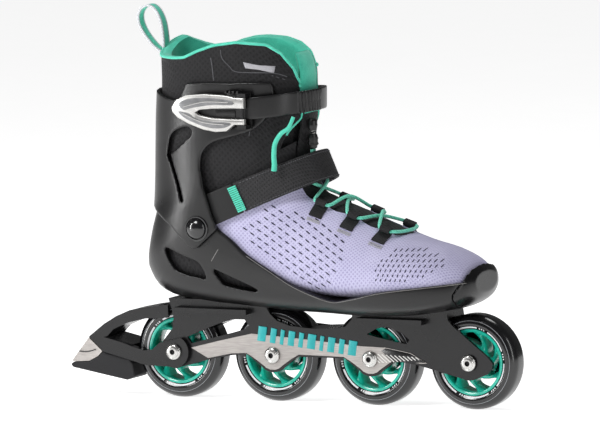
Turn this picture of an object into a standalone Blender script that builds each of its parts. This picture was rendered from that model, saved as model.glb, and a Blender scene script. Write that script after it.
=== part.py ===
"""Inline skate, right foot: four-wheel frame, heel brake, soft boot in a moulded shell, hinged cuff.

Lengths are written in millimetres and multiplied by MM. X runs to the toe with X = 0 midway between
the outer axles, the wheels stand on Z = 0, and -Y is the lateral side, where the buckle is. The empty
that holds everything then moves the middle of the outline's box to the world's origin.
"""

import math

import bmesh
import bpy
from mathutils import Matrix, Vector

MM = 0.001

# --- wheels -----------------------------------------------------------------------------------
WHEEL_R = 40.0
WHEEL_SPACING = 91.0
WHEEL_COUNT = 4
TYRE_WIDTH = 24.0
TREAD_HALF = 4.0
HUB_R = 28.0
HUB_WIDTH = 21.0
RIM_WALL = 3.0
HUB_CORE_R = 14.0
SPOKE_COUNT = 7
SPOKE_WEB = 9.0
BEARING_R = 11.0
BEARING_BORE_R = 4.15
BEARING_WIDTH = 7.0
SPACER_R = 5.4
SPACER_LENGTH = 9.4
AXLE_R = 4.0
AXLE_HEAD_R = 6.4
AXLE_HEAD_HEIGHT = 2.9
GAP = 0.3
RUNNING = 0.08

# --- frame ------------------------------------------------------------------------------------
FRAME_HALF = 16.0
FRAME_WALL = 3.2
WHEEL_CLEARANCE = 1.5
DECK_TOP = 84.7
WEB_THICKNESS = 4.0
FLANGE_HALF = 24.0
FLANGE_TOP = 75.0
FLANGE_THICKNESS = 4.0
PANEL_THICKNESS = 0.7
FRAME_BOLT_R = 3.9
FRAME_BOLT_HEAD_R = 6.5
FRAME_BOLT_HEAD = 2.6
FRAME_BOLT_LENGTH = 16.0

# --- brake ------------------------------------------------------------------------------------
BRAKE_HALF = 20.0
BRAKE_TIP_X = -237.0
BRAKE_SCREW_R = 3.0
BRAKE_SCREW_X = -199.0

# --- boot -------------------------------------------------------------------------------------
FOOTBED = 91.0
UPPER_WALL = 5.0
COLLAR_WALL = 9.0
SHELL_WALL = 3.6
SHELL_GAP = 0.4
CUFF_WALL = 3.2
THROAT_HALF = 19.0
COLLAR_MOUTH_HALF = 25.0
TONGUE_THICK = 7.0
INSOLE_THICK = 3.5
PIVOT_X, PIVOT_Z = -99.0, 148.0
PIVOT_LOBE_R = 17.6
PIVOT_BORE_R = 5.0
PIVOT_CAP_R = 8.2
PIVOT_CAP_HEIGHT = 3.2

# --- straps, buckle, lacing -------------------------------------------------------------------
STRAP_THICK = 2.4
ANKLE_STRAP_THICK = 2.2
STRAIGHT_RUN = 100.0
# A strap's edge line: where its bend starts and where its middle comes at the front, both as (x, z),
# then the half width and the fullness of the bend.
ANKLE_HALF = 47.6
ANKLE_LOW = ((-46.0, 241.3), (-7.0, 245.5), ANKLE_HALF, 2.0)
ANKLE_HIGH = ((-46.0, 259.4), (-6.4, 263.8), ANKLE_HALF, 2.0)
INSTEP_LOW = ((-86.0, 150.0), (5.4, 189.4), 39.4, 2.6)
INSTEP_HIGH = ((-98.0, 174.0), (-4.6, 212.4), 40.0, 2.6)
ANCHOR_SHARE = -0.7
BUCKLE_BASE_INNER = 45.5
BUCKLE_BASE_THICK = 1.8
LEVER_INNER = 51.2
LEVER_THICK = 4.2
LEVER_NOSE = 2.6
LUG_WIDTH = 3.4
BUCKLE_HINGE_X, BUCKLE_HINGE_Z = -50.0, 249.0
BUCKLE_PIN_R = 1.3
LACE_R = 1.4
LOOP_INNER_R = 2.3
LOOP_OUTER_R = 3.3
LOOP_LIFT = 0.8 + LOOP_OUTER_R
LACE_LIFT = LACE_R + 0.9
LACE_ROWS = (7.15, 5.9, 4.85)
LACE_SIDE = 22.0
LOCK_PLACE = Vector((-7.6, -8.0))
LOCK_BOTTOM = 213.6
LOCK_TRAVEL = 3.0

RING = 24
TYRE_STEPS = 32

PARTS = "inline_skate"
CUTTERS = "cutters"


# --- scene helpers ------------------------------------------------------------------------------
def clear_scene():
    for old in list(bpy.data.objects):
        bpy.data.objects.remove(old, do_unlink=True)


def collection(name):
    found = bpy.data.collections.get(name)
    if found is None:
        found = bpy.data.collections.new(name)
        bpy.context.scene.collection.children.link(found)
    return found


def material(name, colour, roughness, metallic=0.0):
    found = bpy.data.materials.get(name)
    if found is None:
        found = bpy.data.materials.new(name)
        found.use_nodes = True
        shader = found.node_tree.nodes["Principled BSDF"]
        shader.inputs["Base Color"].default_value = (*colour, 1.0)
        shader.inputs["Roughness"].default_value = roughness
        shader.inputs["Metallic"].default_value = metallic
    return found


def finish_palette():
    return {
        "tyre": material("tyre_rubber", (0.02, 0.02, 0.022), 0.45),
        "hub": material("teal_hub", (0.01, 0.42, 0.34), 0.3),
        "steel": material("steel", (0.62, 0.62, 0.63), 0.25, 1.0),
        "frame": material("frame_black", (0.025, 0.025, 0.028), 0.45),
        "panel": material("grey_trim", (0.42, 0.4, 0.39), 0.35, 0.4),
        "shell": material("shell_black", (0.025, 0.025, 0.03), 0.42),
        "rubber": material("brake_rubber", (0.03, 0.03, 0.032), 0.7),
        "knit": material("lavender_knit", (0.5, 0.48, 0.72), 0.9),
        "padding": material("collar_fabric", (0.03, 0.03, 0.035), 0.85),
        "lining": material("teal_lining", (0.08, 0.62, 0.5), 0.9),
        "webbing": material("black_webbing", (0.02, 0.02, 0.022), 0.85),
        "lace": material("teal_lace", (0.1, 0.68, 0.55), 0.8),
        "foam": material("insole_foam", (0.1, 0.1, 0.11), 0.9),
    }


def new_object(name, data, finish, role=PARTS):
    made = bpy.data.objects.new(name, data)
    collection(role).objects.link(made)
    if finish is not None:
        data.materials.append(finish)
    if role == CUTTERS:
        made.hide_render = True
        made.display_type = "WIRE"
    return made


def mesh_object(name, build, finish=None, role=PARTS):
    """Make a mesh object from a bmesh, with its faces turned outwards."""
    bmesh.ops.recalc_face_normals(build, faces=build.faces)
    mesh = bpy.data.meshes.new(name)
    build.to_mesh(mesh)
    build.free()
    return new_object(name, mesh, finish, role)


def smooth(made, angle=35.0):
    made.data.shade_smooth()
    made.data.set_sharp_from_angle(angle=math.radians(angle))
    return made


def solver(made, cutter, operation):
    change = made.modifiers.new(operation.lower(), "BOOLEAN")
    change.operation = operation
    change.object = cutter
    change.solver = "EXACT"
    return made


def cut(made, *cutters):
    for cutter in cutters:
        solver(made, cutter, "DIFFERENCE")
    return made


def keep(made, *cutters):
    for cutter in cutters:
        solver(made, cutter, "INTERSECT")
    return made


def join(made, *cutters):
    for cutter in cutters:
        solver(made, cutter, "UNION")
    return made


def block(name, low, high, finish=None, role=CUTTERS):
    build = bmesh.new()
    bmesh.ops.create_cube(build, size=1.0)
    size = [(b - a) * MM for a, b in zip(low, high)]
    middle = [(a + b) * MM / 2 for a, b in zip(low, high)]
    bmesh.ops.scale(build, vec=size, verts=build.verts)
    bmesh.ops.translate(build, vec=middle, verts=build.verts)
    return mesh_object(name, build, finish, role)


def rod(name, radius, low, high, axis="Y", finish=None, role=CUTTERS, sides=32):
    """A cylinder between two points that differ along one axis."""
    build = bmesh.new()
    length = (Vector(high) - Vector(low)).length * MM
    bmesh.ops.create_cone(
        build, cap_ends=True, segments=sides, radius1=radius * MM, radius2=radius * MM, depth=length
    )
    bmesh.ops.rotate(build, matrix=Matrix.Rotation(math.pi / sides, 3, "Z"), verts=build.verts)
    if axis == "Y":
        bmesh.ops.rotate(build, matrix=Matrix.Rotation(math.pi / 2, 3, "X"), verts=build.verts)
    middle = (Vector(low) + Vector(high)) * MM / 2
    bmesh.ops.translate(build, vec=middle, verts=build.verts)
    return mesh_object(name, build, finish, role)


def curve_to_mesh(made, weld=0.00002):
    """Swap a curve object for the mesh that it makes, with its caps welded on."""
    depsgraph = bpy.context.evaluated_depsgraph_get()
    mesh = bpy.data.meshes.new_from_object(made.evaluated_get(depsgraph))
    build = bmesh.new()
    build.from_mesh(mesh)
    bmesh.ops.remove_doubles(build, verts=build.verts, dist=weld)
    bmesh.ops.recalc_face_normals(build, faces=build.faces)
    build.to_mesh(mesh)
    build.free()
    name, place, home = made.name, made.matrix_world.copy(), made.users_collection[0].name
    old = made.data
    bpy.data.objects.remove(made, do_unlink=True)
    bpy.data.curves.remove(old)
    mesh.name = name
    swapped = new_object(name, mesh, None, home)
    swapped.matrix_world = place
    return swapped


def plate(name, outlines, half, middle_y=0.0, finish=None, role=PARTS):
    """A flat outline in the XZ plane (further outlines are holes), thick along Y by twice half."""
    curve = bpy.data.curves.new(name, "CURVE")
    curve.dimensions = "2D"
    curve.fill_mode = "BOTH"
    curve.extrude = half * MM
    for outline in outlines:
        spline = curve.splines.new("POLY")
        spline.points.add(len(outline) - 1)
        for point, (x, z) in zip(spline.points, outline):
            point.co = (x * MM, z * MM, 0.0, 1.0)
        spline.use_cyclic_u = True
    made = new_object(name, curve, finish, role)
    made.matrix_world = Matrix.Translation((0, middle_y * MM, 0)) @ Matrix.Rotation(math.pi / 2, 4, "X")
    return curve_to_mesh(made)


def turned(name, profile, place, finish, steps=40, closed=False, role=PARTS):
    """A profile of (radius, height) points turned about Y; heights run along Y from place."""
    build = bmesh.new()
    corners = [build.verts.new((r * MM, 0, h * MM)) for r, h in profile]
    edges = list(zip(corners, corners[1:]))
    if closed:
        edges.append((corners[-1], corners[0]))
    for a, b in edges:
        build.edges.new((a, b))
    mesh = bpy.data.meshes.new(name)
    build.to_mesh(mesh)
    build.free()
    made = new_object(name, mesh, finish, role)
    turn = made.modifiers.new("turn", "SCREW")
    turn.steps = steps
    turn.render_steps = steps
    turn.use_merge_vertices = True
    turn.merge_threshold = 0.00001
    made.rotation_euler = (-math.pi / 2, 0, 0)
    made.location = Vector(place) * MM
    return made


def arc(centre, radius, start, end, count):
    """Points on an arc in the XZ plane; the angles are in degrees from +X towards +Z."""
    points = []
    for i in range(count + 1):
        angle = math.radians(start + (end - start) * i / count)
        points.append((centre[0] + radius * math.cos(angle), centre[1] + radius * math.sin(angle)))
    return points


# --- the boot's form ----------------------------------------------------------------------------
# Cross-sections of the soft boot, from the toe over the instep to the rim of the collar. Each one is
# bottom (or back) point, top (or front) point, half width, where it is widest as a share of its
# height, fullness of its lower and upper half, and how far an offset moves it towards the toe.
SECTIONS = [
    ((142.5, 103.0), (142.5, 112.5), 17.0, 0.5, 2.2, 2.2, 1.0),
    ((139.0, 99.0), (139.0, 120.0), 29.0, 0.42, 2.4, 2.1, 0.6),
    ((130.0, 96.0), (130.0, 127.5), 38.5, 0.38, 2.6, 2.1, 0.2),
    ((113.0, 94.0), (113.0, 135.0), 45.5, 0.36, 2.8, 2.0, 0.0),
    ((90.0, 92.0), (90.0, 141.0), 48.5, 0.34, 3.0, 2.0, 0.0),
    ((60.0, 91.2), (60.0, 152.0), 48.5, 0.32, 3.0, 2.0, 0.0),
    ((32.0, FOOTBED), (32.0, 164.0), 45.5, 0.32, 3.0, 2.0, 0.0),
    ((8.0, FOOTBED), (8.0, 173.0), 42.0, 0.34, 3.0, 2.1, 0.0),
    ((-22.0, FOOTBED), (-6.0, 180.0), 39.5, 0.36, 3.0, 2.1, 0.0),
    ((-62.0, FOOTBED), (-10.0, 188.5), 38.0, 0.38, 2.8, 2.2, 0.0),
    ((-105.0, FOOTBED), (-12.0, 197.0), 37.5, 0.42, 2.6, 2.3, 0.0),
    ((-140.0, 97.0), (-13.0, 206.0), 37.5, 0.44, 2.4, 2.4, 0.0),
    ((-153.0, 117.0), (-13.0, 215.0), 37.5, 0.46, 2.4, 2.5, 0.0),
    ((-153.5, 140.0), (-12.0, 224.0), 37.5, 0.48, 2.4, 2.5, 0.0),
    ((-149.5, 165.0), (-11.0, 234.0), 38.0, 0.5, 2.4, 2.5, 0.0),
    ((-148.5, 190.0), (-10.0, 244.0), 39.0, 0.5, 2.4, 2.5, 0.0),
    ((-148.0, 215.0), (-10.5, 255.0), 40.0, 0.5, 2.4, 2.5, 0.0),
    ((-147.5, 240.0), (-11.0, 267.0), 40.5, 0.5, 2.4, 2.5, 0.0),
    ((-146.8, 265.0), (-11.5, 281.0), 41.0, 0.5, 2.4, 2.5, 0.0),
    ((-147.0, 290.0), (-13.0, 297.0), 41.0, 0.5, 2.4, 2.5, 0.0),
    ((-147.5, 314.0), (-17.0, 316.0), 41.0, 0.5, 2.4, 2.5, 0.0),
]
SPLIT = 13
CUFF_FIRST = 11


def section_ring(index, side, base=None, front=None):
    """One ring of the boot's form, moved out by side, by base at the sole or back, by front on top."""
    base = side if base is None else base
    front = side if front is None else front
    bottom, top, half, widest, low_full, top_full, ahead = SECTIONS[index]
    bottom, top = Vector(bottom), Vector(top)
    along = (top - bottom).normalized()
    bottom = bottom - along * base
    top = top + along * front
    middle = bottom.lerp(top, widest)
    shift = Vector((side * ahead, 0.0))
    ring = []
    for k in range(RING):
        angle = 2 * math.pi * k / RING
        c, s = math.cos(angle), math.sin(angle)
        full = top_full if s > 0 else low_full
        y = (half + side) * math.copysign(abs(c) ** (2 / full), c)
        reach = (top - middle).length if s > 0 else (middle - bottom).length
        flat = middle + along * reach * math.copysign(abs(s) ** (2 / full), s) + shift
        ring.append((flat.x * MM, y * MM, flat.y * MM))
    return ring


def ring_faces(build, first, second):
    count = len(first)
    for k in range(count):
        after = (k + 1) % count
        build.faces.new((first[k], first[after], second[after], second[k]))


def form_layer(name, first, last, outside, inside, finish, closed_toe=True, role=PARTS):
    """The solid between two offsets of the boot's form. outside and inside give a ring for an index."""
    build = bmesh.new()
    walls = []
    for ring_at in (outside, inside):
        rings = []
        for index in range(first, last + 1):
            rings.append([build.verts.new(p) for p in ring_at(index)])
        for before, after in zip(rings, rings[1:]):
            ring_faces(build, before, after)
        walls.append(rings)
    ring_faces(build, walls[0][-1], walls[1][-1])
    if closed_toe:
        build.faces.new(walls[0][0])
        build.faces.new(walls[1][0])
    else:
        ring_faces(build, walls[0][0], walls[1][0])
    return smooth(mesh_object(name, build, finish, role), 50)


def form_solid(name, first, last, ring_at, role=CUTTERS):
    build = bmesh.new()
    rings = [[build.verts.new(p) for p in ring_at(i)] for i in range(first, last + 1)]
    for before, after in zip(rings, rings[1:]):
        ring_faces(build, before, after)
    build.faces.new(rings[0])
    build.faces.new(rings[-1])
    return mesh_object(name, build, None, role)


def side_cutter(name, outline, half=80.0, middle_y=0.0):
    return plate(name, [outline], half, middle_y, role=CUTTERS)


# --- wheels -----------------------------------------------------------------------------------
def axle_x(index):
    return (index - (WHEEL_COUNT - 1) / 2) * WHEEL_SPACING


def hub_mesh(finish):
    """Rim, web and bearing core, with windows between the spokes."""
    half, seat = HUB_WIDTH / 2, BEARING_R + GAP
    inner = HUB_R - RIM_WALL
    web = SPOKE_WEB / 2
    core_half = SPACER_LENGTH / 2 + BEARING_WIDTH - 0.6
    profile = [
        (HUB_R, half), (HUB_R, -half), (inner, -half), (inner, -web), (HUB_CORE_R, -web),
        (HUB_CORE_R, -core_half), (seat, -core_half), (seat, core_half), (HUB_CORE_R, core_half),
        (HUB_CORE_R, web), (inner, web), (inner, half),
    ]
    hub = turned("hub_1", profile, (axle_x(0), 0, WHEEL_R), finish, steps=28, closed=True)
    step = 2 * math.pi / SPOKE_COUNT
    for k in range(SPOKE_COUNT):
        build = bmesh.new()
        outline = []
        for radius, lean in ((HUB_CORE_R + 1.2, 0.0), (inner - 1.0, 0.24)):
            spread = step * (0.26 if radius < inner - 2 else 0.33)
            for side in (-1, 1):
                angle = k * step + lean + side * spread
                outline.append((radius * math.cos(angle) * MM, radius * math.sin(angle) * MM))
        outline = [outline[0], outline[1], outline[3], outline[2]]
        low = [build.verts.new((x, y, -half * MM)) for x, y in outline]
        high = [build.verts.new((x, y, half * MM)) for x, y in outline]
        ring_faces(build, low, high)
        build.faces.new(low)
        build.faces.new(high)
        window = mesh_object(f"hub_window_{k + 1}", build, None, CUTTERS)
        window.rotation_euler = (-math.pi / 2, 0, 0)
        window.location = hub.location
        cut(hub, window)
    depsgraph = bpy.context.evaluated_depsgraph_get()
    baked = bpy.data.meshes.new_from_object(hub.evaluated_get(depsgraph))
    hub.modifiers.clear()
    hub.data = baked
    return smooth(hub, 30)


def tyre_profile():
    """Half-elliptic crown with a narrow flat tread, flanks, and the bead on the hub.

    The radii are those of the facets' corners, so that the middle of each facet has the true radius.
    """
    half = TYRE_WIDTH / 2
    facet = math.cos(math.pi / TYRE_STEPS)
    bead = (HUB_R + GAP / 3) / facet
    tread = WHEEL_R / facet
    shoulder = HUB_R + 3.4
    outer = [(tread, TREAD_HALF)]
    for k in range(1, 4):
        angle = math.radians(90 * k / 3)
        y = TREAD_HALF + (half - TREAD_HALF) * math.sin(angle)
        outer.append((shoulder + (tread - shoulder) * math.cos(angle), y))
    outer.append((bead, HUB_WIDTH / 2 - 0.4))
    upper = outer[::-1]
    lower = [(r, -h) for r, h in outer]
    return upper + lower


def add_wheels(look):
    lift = SPACER_LENGTH / 2 + GAP
    hub = hub_mesh(look["hub"])
    for index in range(WHEEL_COUNT):
        number = index + 1
        centre = (axle_x(index), 0, WHEEL_R)
        tyre = turned(f"tyre_{number}", tyre_profile(), centre, look["tyre"], TYRE_STEPS, closed=True)
        tyre.rotation_euler.rotate_axis("Z", math.pi / TYRE_STEPS)
        smooth(tyre, 40)
        if index:
            copy = new_object(f"hub_{number}", hub.data, None)
            copy.rotation_euler = hub.rotation_euler
            copy.location = Vector(centre) * MM
        outer_r, bore = BEARING_R, BEARING_BORE_R
        race = [(outer_r, BEARING_WIDTH), (outer_r, 0), (bore, 0), (bore, BEARING_WIDTH)]
        for side, start in (("lateral", -lift - BEARING_WIDTH), ("medial", lift)):
            place = (centre[0], start, WHEEL_R)
            bearing = turned(f"bearing_{number}_{side}", race, place, look["steel"], 16, True)
            smooth(bearing)
        half = SPACER_LENGTH / 2
        tube = [(SPACER_R, half), (SPACER_R, -half), (bore, -half), (bore, half)]
        smooth(turned(f"spacer_{number}", tube, centre, look["steel"], 14, True))
        add_axle(number, centre, look["steel"])


def axle_seat(index):
    """How far out the axle's head sits: the first axle also holds the brake arm."""
    return BRAKE_HALF if index == 0 else FRAME_HALF


def add_axle(number, centre, finish):
    """Domed head with a driver recess on the lateral side, shaft, and a thinner threaded end."""
    seat = axle_seat(number - 1) + GAP / 2
    top = seat + AXLE_HEAD_HEIGHT
    end = FRAME_HALF - 0.6
    profile = [
        (0, end), (AXLE_R, end), (AXLE_R, -seat), (AXLE_HEAD_R, -seat),
        (AXLE_HEAD_R, -seat - 1.0), (AXLE_HEAD_R * 0.62, -top), (2.6, -top), (2.6, -top + 1.6),
        (0, -top + 1.6),
    ]
    smooth(turned(f"axle_{number}", profile, centre, finish, 14))


# --- frame ------------------------------------------------------------------------------------
def frame_outline():
    rear = axle_x(0)
    front = axle_x(3)
    boss = 14.6
    outline = [(-57.0, DECK_TOP), (-142.6, DECK_TOP), (-139.6, 75.4), (-138.2, 68.0), (-139.4, 59.3)]
    outline += arc((rear, WHEEL_R), boss, 145, 270, 8)
    outline += [(-106.8, 33.8), (-83.2, 38.6)]
    for index in (1, 2):
        x = axle_x(index)
        outline += [(x - 24.0, 39.6), (x - 19.5, 36.6)]
        outline += arc((x, WHEEL_R), boss, 222, 318, 6)
        outline += [(x + 19.5, 36.6), (x + 24.0, 39.6)]
    outline += [(90.0, 36.3), (111.9, 31.2)]
    outline += arc((front, WHEEL_R), boss, 246, 300, 4)
    outline += [(front + 16.5, 31.2), (front + 21.0, 36.0), (front + 21.6, 40.2)]
    outline += [(front + 17.5, 45.0), (128.8, 64.9), (121.2, 71.0), (117.6, 75.0), (116.2, DECK_TOP)]
    outline += [(31.0, DECK_TOP), (28.4, 72.2), (22.4, 66.1), (8.4, 64.3), (-7.0, 63.4)]
    outline += [(-28.8, 65.1), (-41.2, 69.0), (-47.3, 74.5), (-52.5, 82.2)]
    return outline


REAR_WINDOW = [
    (-122.0, 47.0), (-110.5, 50.2), (-91.1, 55.2), (-71.6, 60.8), (-67.6, 64.4), (-71.4, 69.0),
    (-82.4, 68.8), (-96.3, 64.6), (-113.1, 57.8), (-126.0, 52.4),
]
FRONT_WINDOW = [
    (42.3, 60.6), (51.1, 65.7), (58.6, 67.4), (66.0, 66.5), (75.2, 62.7), (81.9, 57.3),
    (79.3, 53.8), (68.8, 55.1), (59.6, 57.0), (50.3, 58.9),
]


def frame_bolt_x():
    return (axle_x(0) + axle_x(1)) / 2, (axle_x(2) + axle_x(3)) / 2


def add_frame(look):
    channel = FRAME_HALF - FRAME_WALL
    frame = plate("frame", [frame_outline()], FRAME_HALF, finish=None)
    frame.data.materials.append(look["frame"])
    wheel_room = WHEEL_R + WHEEL_CLEARANCE
    low_z = -5.0
    room_top = WHEEL_R + wheel_room
    cutters = [block("channel_low", (-200, -channel, low_z), (200, channel, 44.0))]
    for index in range(WHEEL_COUNT):
        x = axle_x(index)
        cutters.append(rod(f"wheel_room_{index + 1}", wheel_room, (x, -channel, WHEEL_R),
                           (x, channel, WHEEL_R), sides=28))
    reach = WHEEL_SPACING - WEB_THICKNESS
    for index in range(WHEEL_COUNT - 1):
        x = (axle_x(index) + axle_x(index + 1)) / 2
        cutters.append(block(f"bay_{index + 1}_rear", (x - reach / 2, -channel, 40.0),
                             (x - WEB_THICKNESS / 2, channel, 62.0)))
        cutters.append(block(f"bay_{index + 1}_front", (x + WEB_THICKNESS / 2, -channel, 40.0),
                             (x + reach / 2, channel, 62.0)))
    cutters.append(block("rear_end_room", (-200, -channel, 40.0), (axle_x(0), channel, room_top)))
    cutters.append(block("front_end_room", (axle_x(3), -channel, 40.0), (200, channel, room_top)))
    cutters.append(side_cutter("rear_window", REAR_WINDOW, 40.0))
    cutters.append(side_cutter("front_window", FRONT_WINDOW, 40.0))
    for index in range(WHEEL_COUNT):
        x = axle_x(index)
        bore = AXLE_R + RUNNING
        cutters.append(rod(f"axle_bore_{index + 1}", bore, (x, -40, WHEEL_R), (x, 40, WHEEL_R), sides=24))
    for name, x in zip(("heel", "toe"), frame_bolt_x()):
        cutters.append(rod(f"{name}_bolt_bore", FRAME_BOLT_R + RUNNING, (x, 0, 50), (x, 0, 100), "Z",
                           sides=24))
    front_flange = block("front_flange", (36, -FLANGE_HALF, FLANGE_TOP - FLANGE_THICKNESS),
                         (97, FLANGE_HALF, FLANGE_TOP))
    rear_flange = block("rear_flange", (-134, -FLANGE_HALF, 78.0 - FLANGE_THICKNESS),
                        (-66, FLANGE_HALF, 78.0))
    join(frame, front_flange, rear_flange)
    cut(frame, *cutters)
    add_frame_bolts(look)
    add_panels(look)


def add_frame_bolts(look):
    for name, x in zip(("heel", "toe"), frame_bolt_x()):
        top = FOOTBED - SHELL_GAP - GAP
        profile = [
            (0, 0), (FRAME_BOLT_HEAD_R, 0), (FRAME_BOLT_HEAD_R, -FRAME_BOLT_HEAD),
            (FRAME_BOLT_R, -FRAME_BOLT_HEAD), (FRAME_BOLT_R, -FRAME_BOLT_LENGTH), (0, -FRAME_BOLT_LENGTH),
        ]
        bolt = turned(f"frame_bolt_{name}", profile, (x, 0, top), look["steel"], 24)
        bolt.rotation_euler = (0, 0, 0)
        smooth(bolt)


def panel_outline():
    """Trim panel on a side wall: a slanted end, a scalloped lower edge round the axle bosses."""
    outline = [(-121.8, 43.6), (-106.1, 35.4), (-83.2, 40.2)]
    for index in (1, 2):
        x = axle_x(index)
        outline += [(x - 24.5, 41.0), (x - 18.0, 37.5)]
        outline += arc((x, WHEEL_R), 12.4, 222, 318, 5)
        outline += [(x + 18.0, 37.7), (x + 24.5, 41.4)]
    outline += [(92.0, 38.0), (98.0, 38.4), (83.0, 46.5), (60.0, 50.2), (36.0, 50.6)]
    outline += [(-20.0, 54.8), (-64.8, 57.4), (-96.7, 50.0)]
    return outline


def add_panels(look):
    for side, sign in (("lateral", -1), ("medial", 1)):
        y = sign * (FRAME_HALF + GAP / 3 + PANEL_THICKNESS / 2)
        made = plate(f"frame_panel_{side}", [panel_outline()], PANEL_THICKNESS / 2, y)
        made.data.materials.append(look["panel"])
        for index in (1, 2):
            x = axle_x(index)
            cut(made, rod(f"panel_hole_{side}_{index + 1}", AXLE_HEAD_R + 0.6, (x, y - 3, WHEEL_R),
                          (x, y + 3, WHEEL_R), sides=24))


# --- brake ------------------------------------------------------------------------------------
def add_brake(look):
    rear = axle_x(0)
    upper = [
        (-143.4, 79.0), (-165.3, 76.0), (-180.0, 73.0), (-192.7, 67.6), (-204.5, 60.6), (-219.0, 49.4),
        (-206.4, 38.2), (-196.0, 35.9), (-184.0, 33.3), (-178.0, 44.0), (-189.6, 47.0), (-201.6, 50.2),
        (-195.6, 56.4), (-181.9, 62.4), (-165.0, 66.5), (-143.4, 68.0),
    ]
    arm = plate("brake_arm", [upper], FRAME_HALF)
    arm.data.materials.append(look["shell"])
    channel = FRAME_HALF - FRAME_WALL
    bracket = [(-205.0, 38.0), (-183.0, 32.6), (-163.5, 27.6)]
    bracket += arc((rear, WHEEL_R), 13.6, 250, 420, 12)
    bracket += [(-150.0, 47.2), (-157.0, 41.0), (-165.0, 40.0)]
    bracket += [(-176.7, 43.0), (-189.6, 47.0), (-203.0, 50.0)]
    fork = plate("brake_fork", [bracket], BRAKE_HALF, role=CUTTERS)
    join(arm, fork)
    slot = FRAME_HALF + GAP
    cut(
        arm,
        rod("brake_wheel_room", WHEEL_R + 2.0, (rear, -channel, WHEEL_R), (rear, channel, WHEEL_R),
            sides=28),
        block("brake_frame_slot", (-166.0, -slot, 0.0), (-80.0, slot, 62.0)),
        rod("brake_axle_bore", AXLE_R + RUNNING, (rear, -40, WHEEL_R), (rear, 40, WHEEL_R), sides=24),
        rod("brake_screw_bore", BRAKE_SCREW_R + RUNNING, (BRAKE_SCREW_X, 0, 0), (BRAKE_SCREW_X, 0, 46.0),
            "Z", sides=20),
    )
    add_brake_pad(look)


def add_brake_pad(look):
    tip = BRAKE_TIP_X
    pad_half = 16.5
    pad_outline = [
        (tip, 25.6), (tip + 2.0, 22.8), (-183.7, 13.8), (-178.0, 16.2), (-175.6, 17.0), (-177.8, 28.0),
        (-180.0, 31.2), (-184.3, 32.2), (-196.0, 34.8), (-206.2, 37.0), (-211.0, 32.4), (-219.5, 28.3),
        (-234.0, 27.3),
    ]
    pad = plate("brake_pad", [pad_outline], pad_half)
    pad.data.materials.append(look["rubber"])
    soften(pad, 1.2)
    shank = BRAKE_SCREW_R + RUNNING
    counterbore = 5.4
    cut(
        pad,
        rod("pad_bore", shank, (BRAKE_SCREW_X, 0, 0), (BRAKE_SCREW_X, 0, 60), "Z", sides=20),
        rod("pad_counterbore", counterbore, (BRAKE_SCREW_X, 0, 5), (BRAKE_SCREW_X, 0, 25.0), "Z", sides=24),
    )
    cap_outline = [
        (-219.6, 48.4), (tip + 1.2, 28.4), (-234.0, 27.7), (-219.6, 28.7), (-211.4, 32.8),
        (-206.8, 37.3), (-208.0, 38.3),
    ]
    cap = plate("brake_tip_cap", [cap_outline], 15.5)
    cap.data.materials.append(look["panel"])
    profile = [(0, 17.0), (BRAKE_SCREW_R, 17.0), (BRAKE_SCREW_R, 0), (4.8, 0), (4.8, -3.2), (0, -3.2)]
    screw = turned("brake_pad_screw", profile, (BRAKE_SCREW_X, 0, 25.0 - GAP), look["steel"], 20)
    screw.rotation_euler = (0, 0, 0)
    smooth(screw)


def soften(made, width):
    edges = made.modifiers.new("soften", "BEVEL")
    edges.width = width * MM
    edges.segments = 2
    edges.limit_method = "ANGLE"
    edges.angle_limit = math.radians(40)
    return made


# --- boot -------------------------------------------------------------------------------------
SHELL_TOP = [
    (-79.7, 146.0), (-69.2, 138.6), (-55.2, 126.8), (-34.1, 114.8), (-9.5, 101.6), (22.2, 91.6),
    (43.5, 94.1), (72.0, 100.8), (107.3, 105.8), (142.5, 109.6),
]
HEEL_VENTS = [
    [(-134.5, 129.4), (-117.4, 124.4), (-101.1, 118.0), (-95.6, 105.6), (-103.0, 105.6), (-125.0, 111.6)],
    [(-88.0, 113.4), (-81.1, 111.6), (-63.6, 104.8), (-46.0, 97.0), (-54.0, 95.9), (-76.2, 99.6),
     (-80.9, 102.4)],
]
TOE_SEAM = [(131.0, 80.0), (133.5, 98.9), (139.5, 108.8), (143.0, 122.0)]


SOLE_DEPTH = [4.6, 7.6, 10.5, 12.4, 13.6, 14.6, 14.8, 14.2, 13.6, 12.6, 11.2, 10.6, 12.4, 8.0, 3.6]


def shell_outer(index):
    """Outside of the moulded shell: thick under the sole and behind the heel."""
    return section_ring(index, SHELL_GAP + SHELL_WALL, base=SOLE_DEPTH[index])


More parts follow.
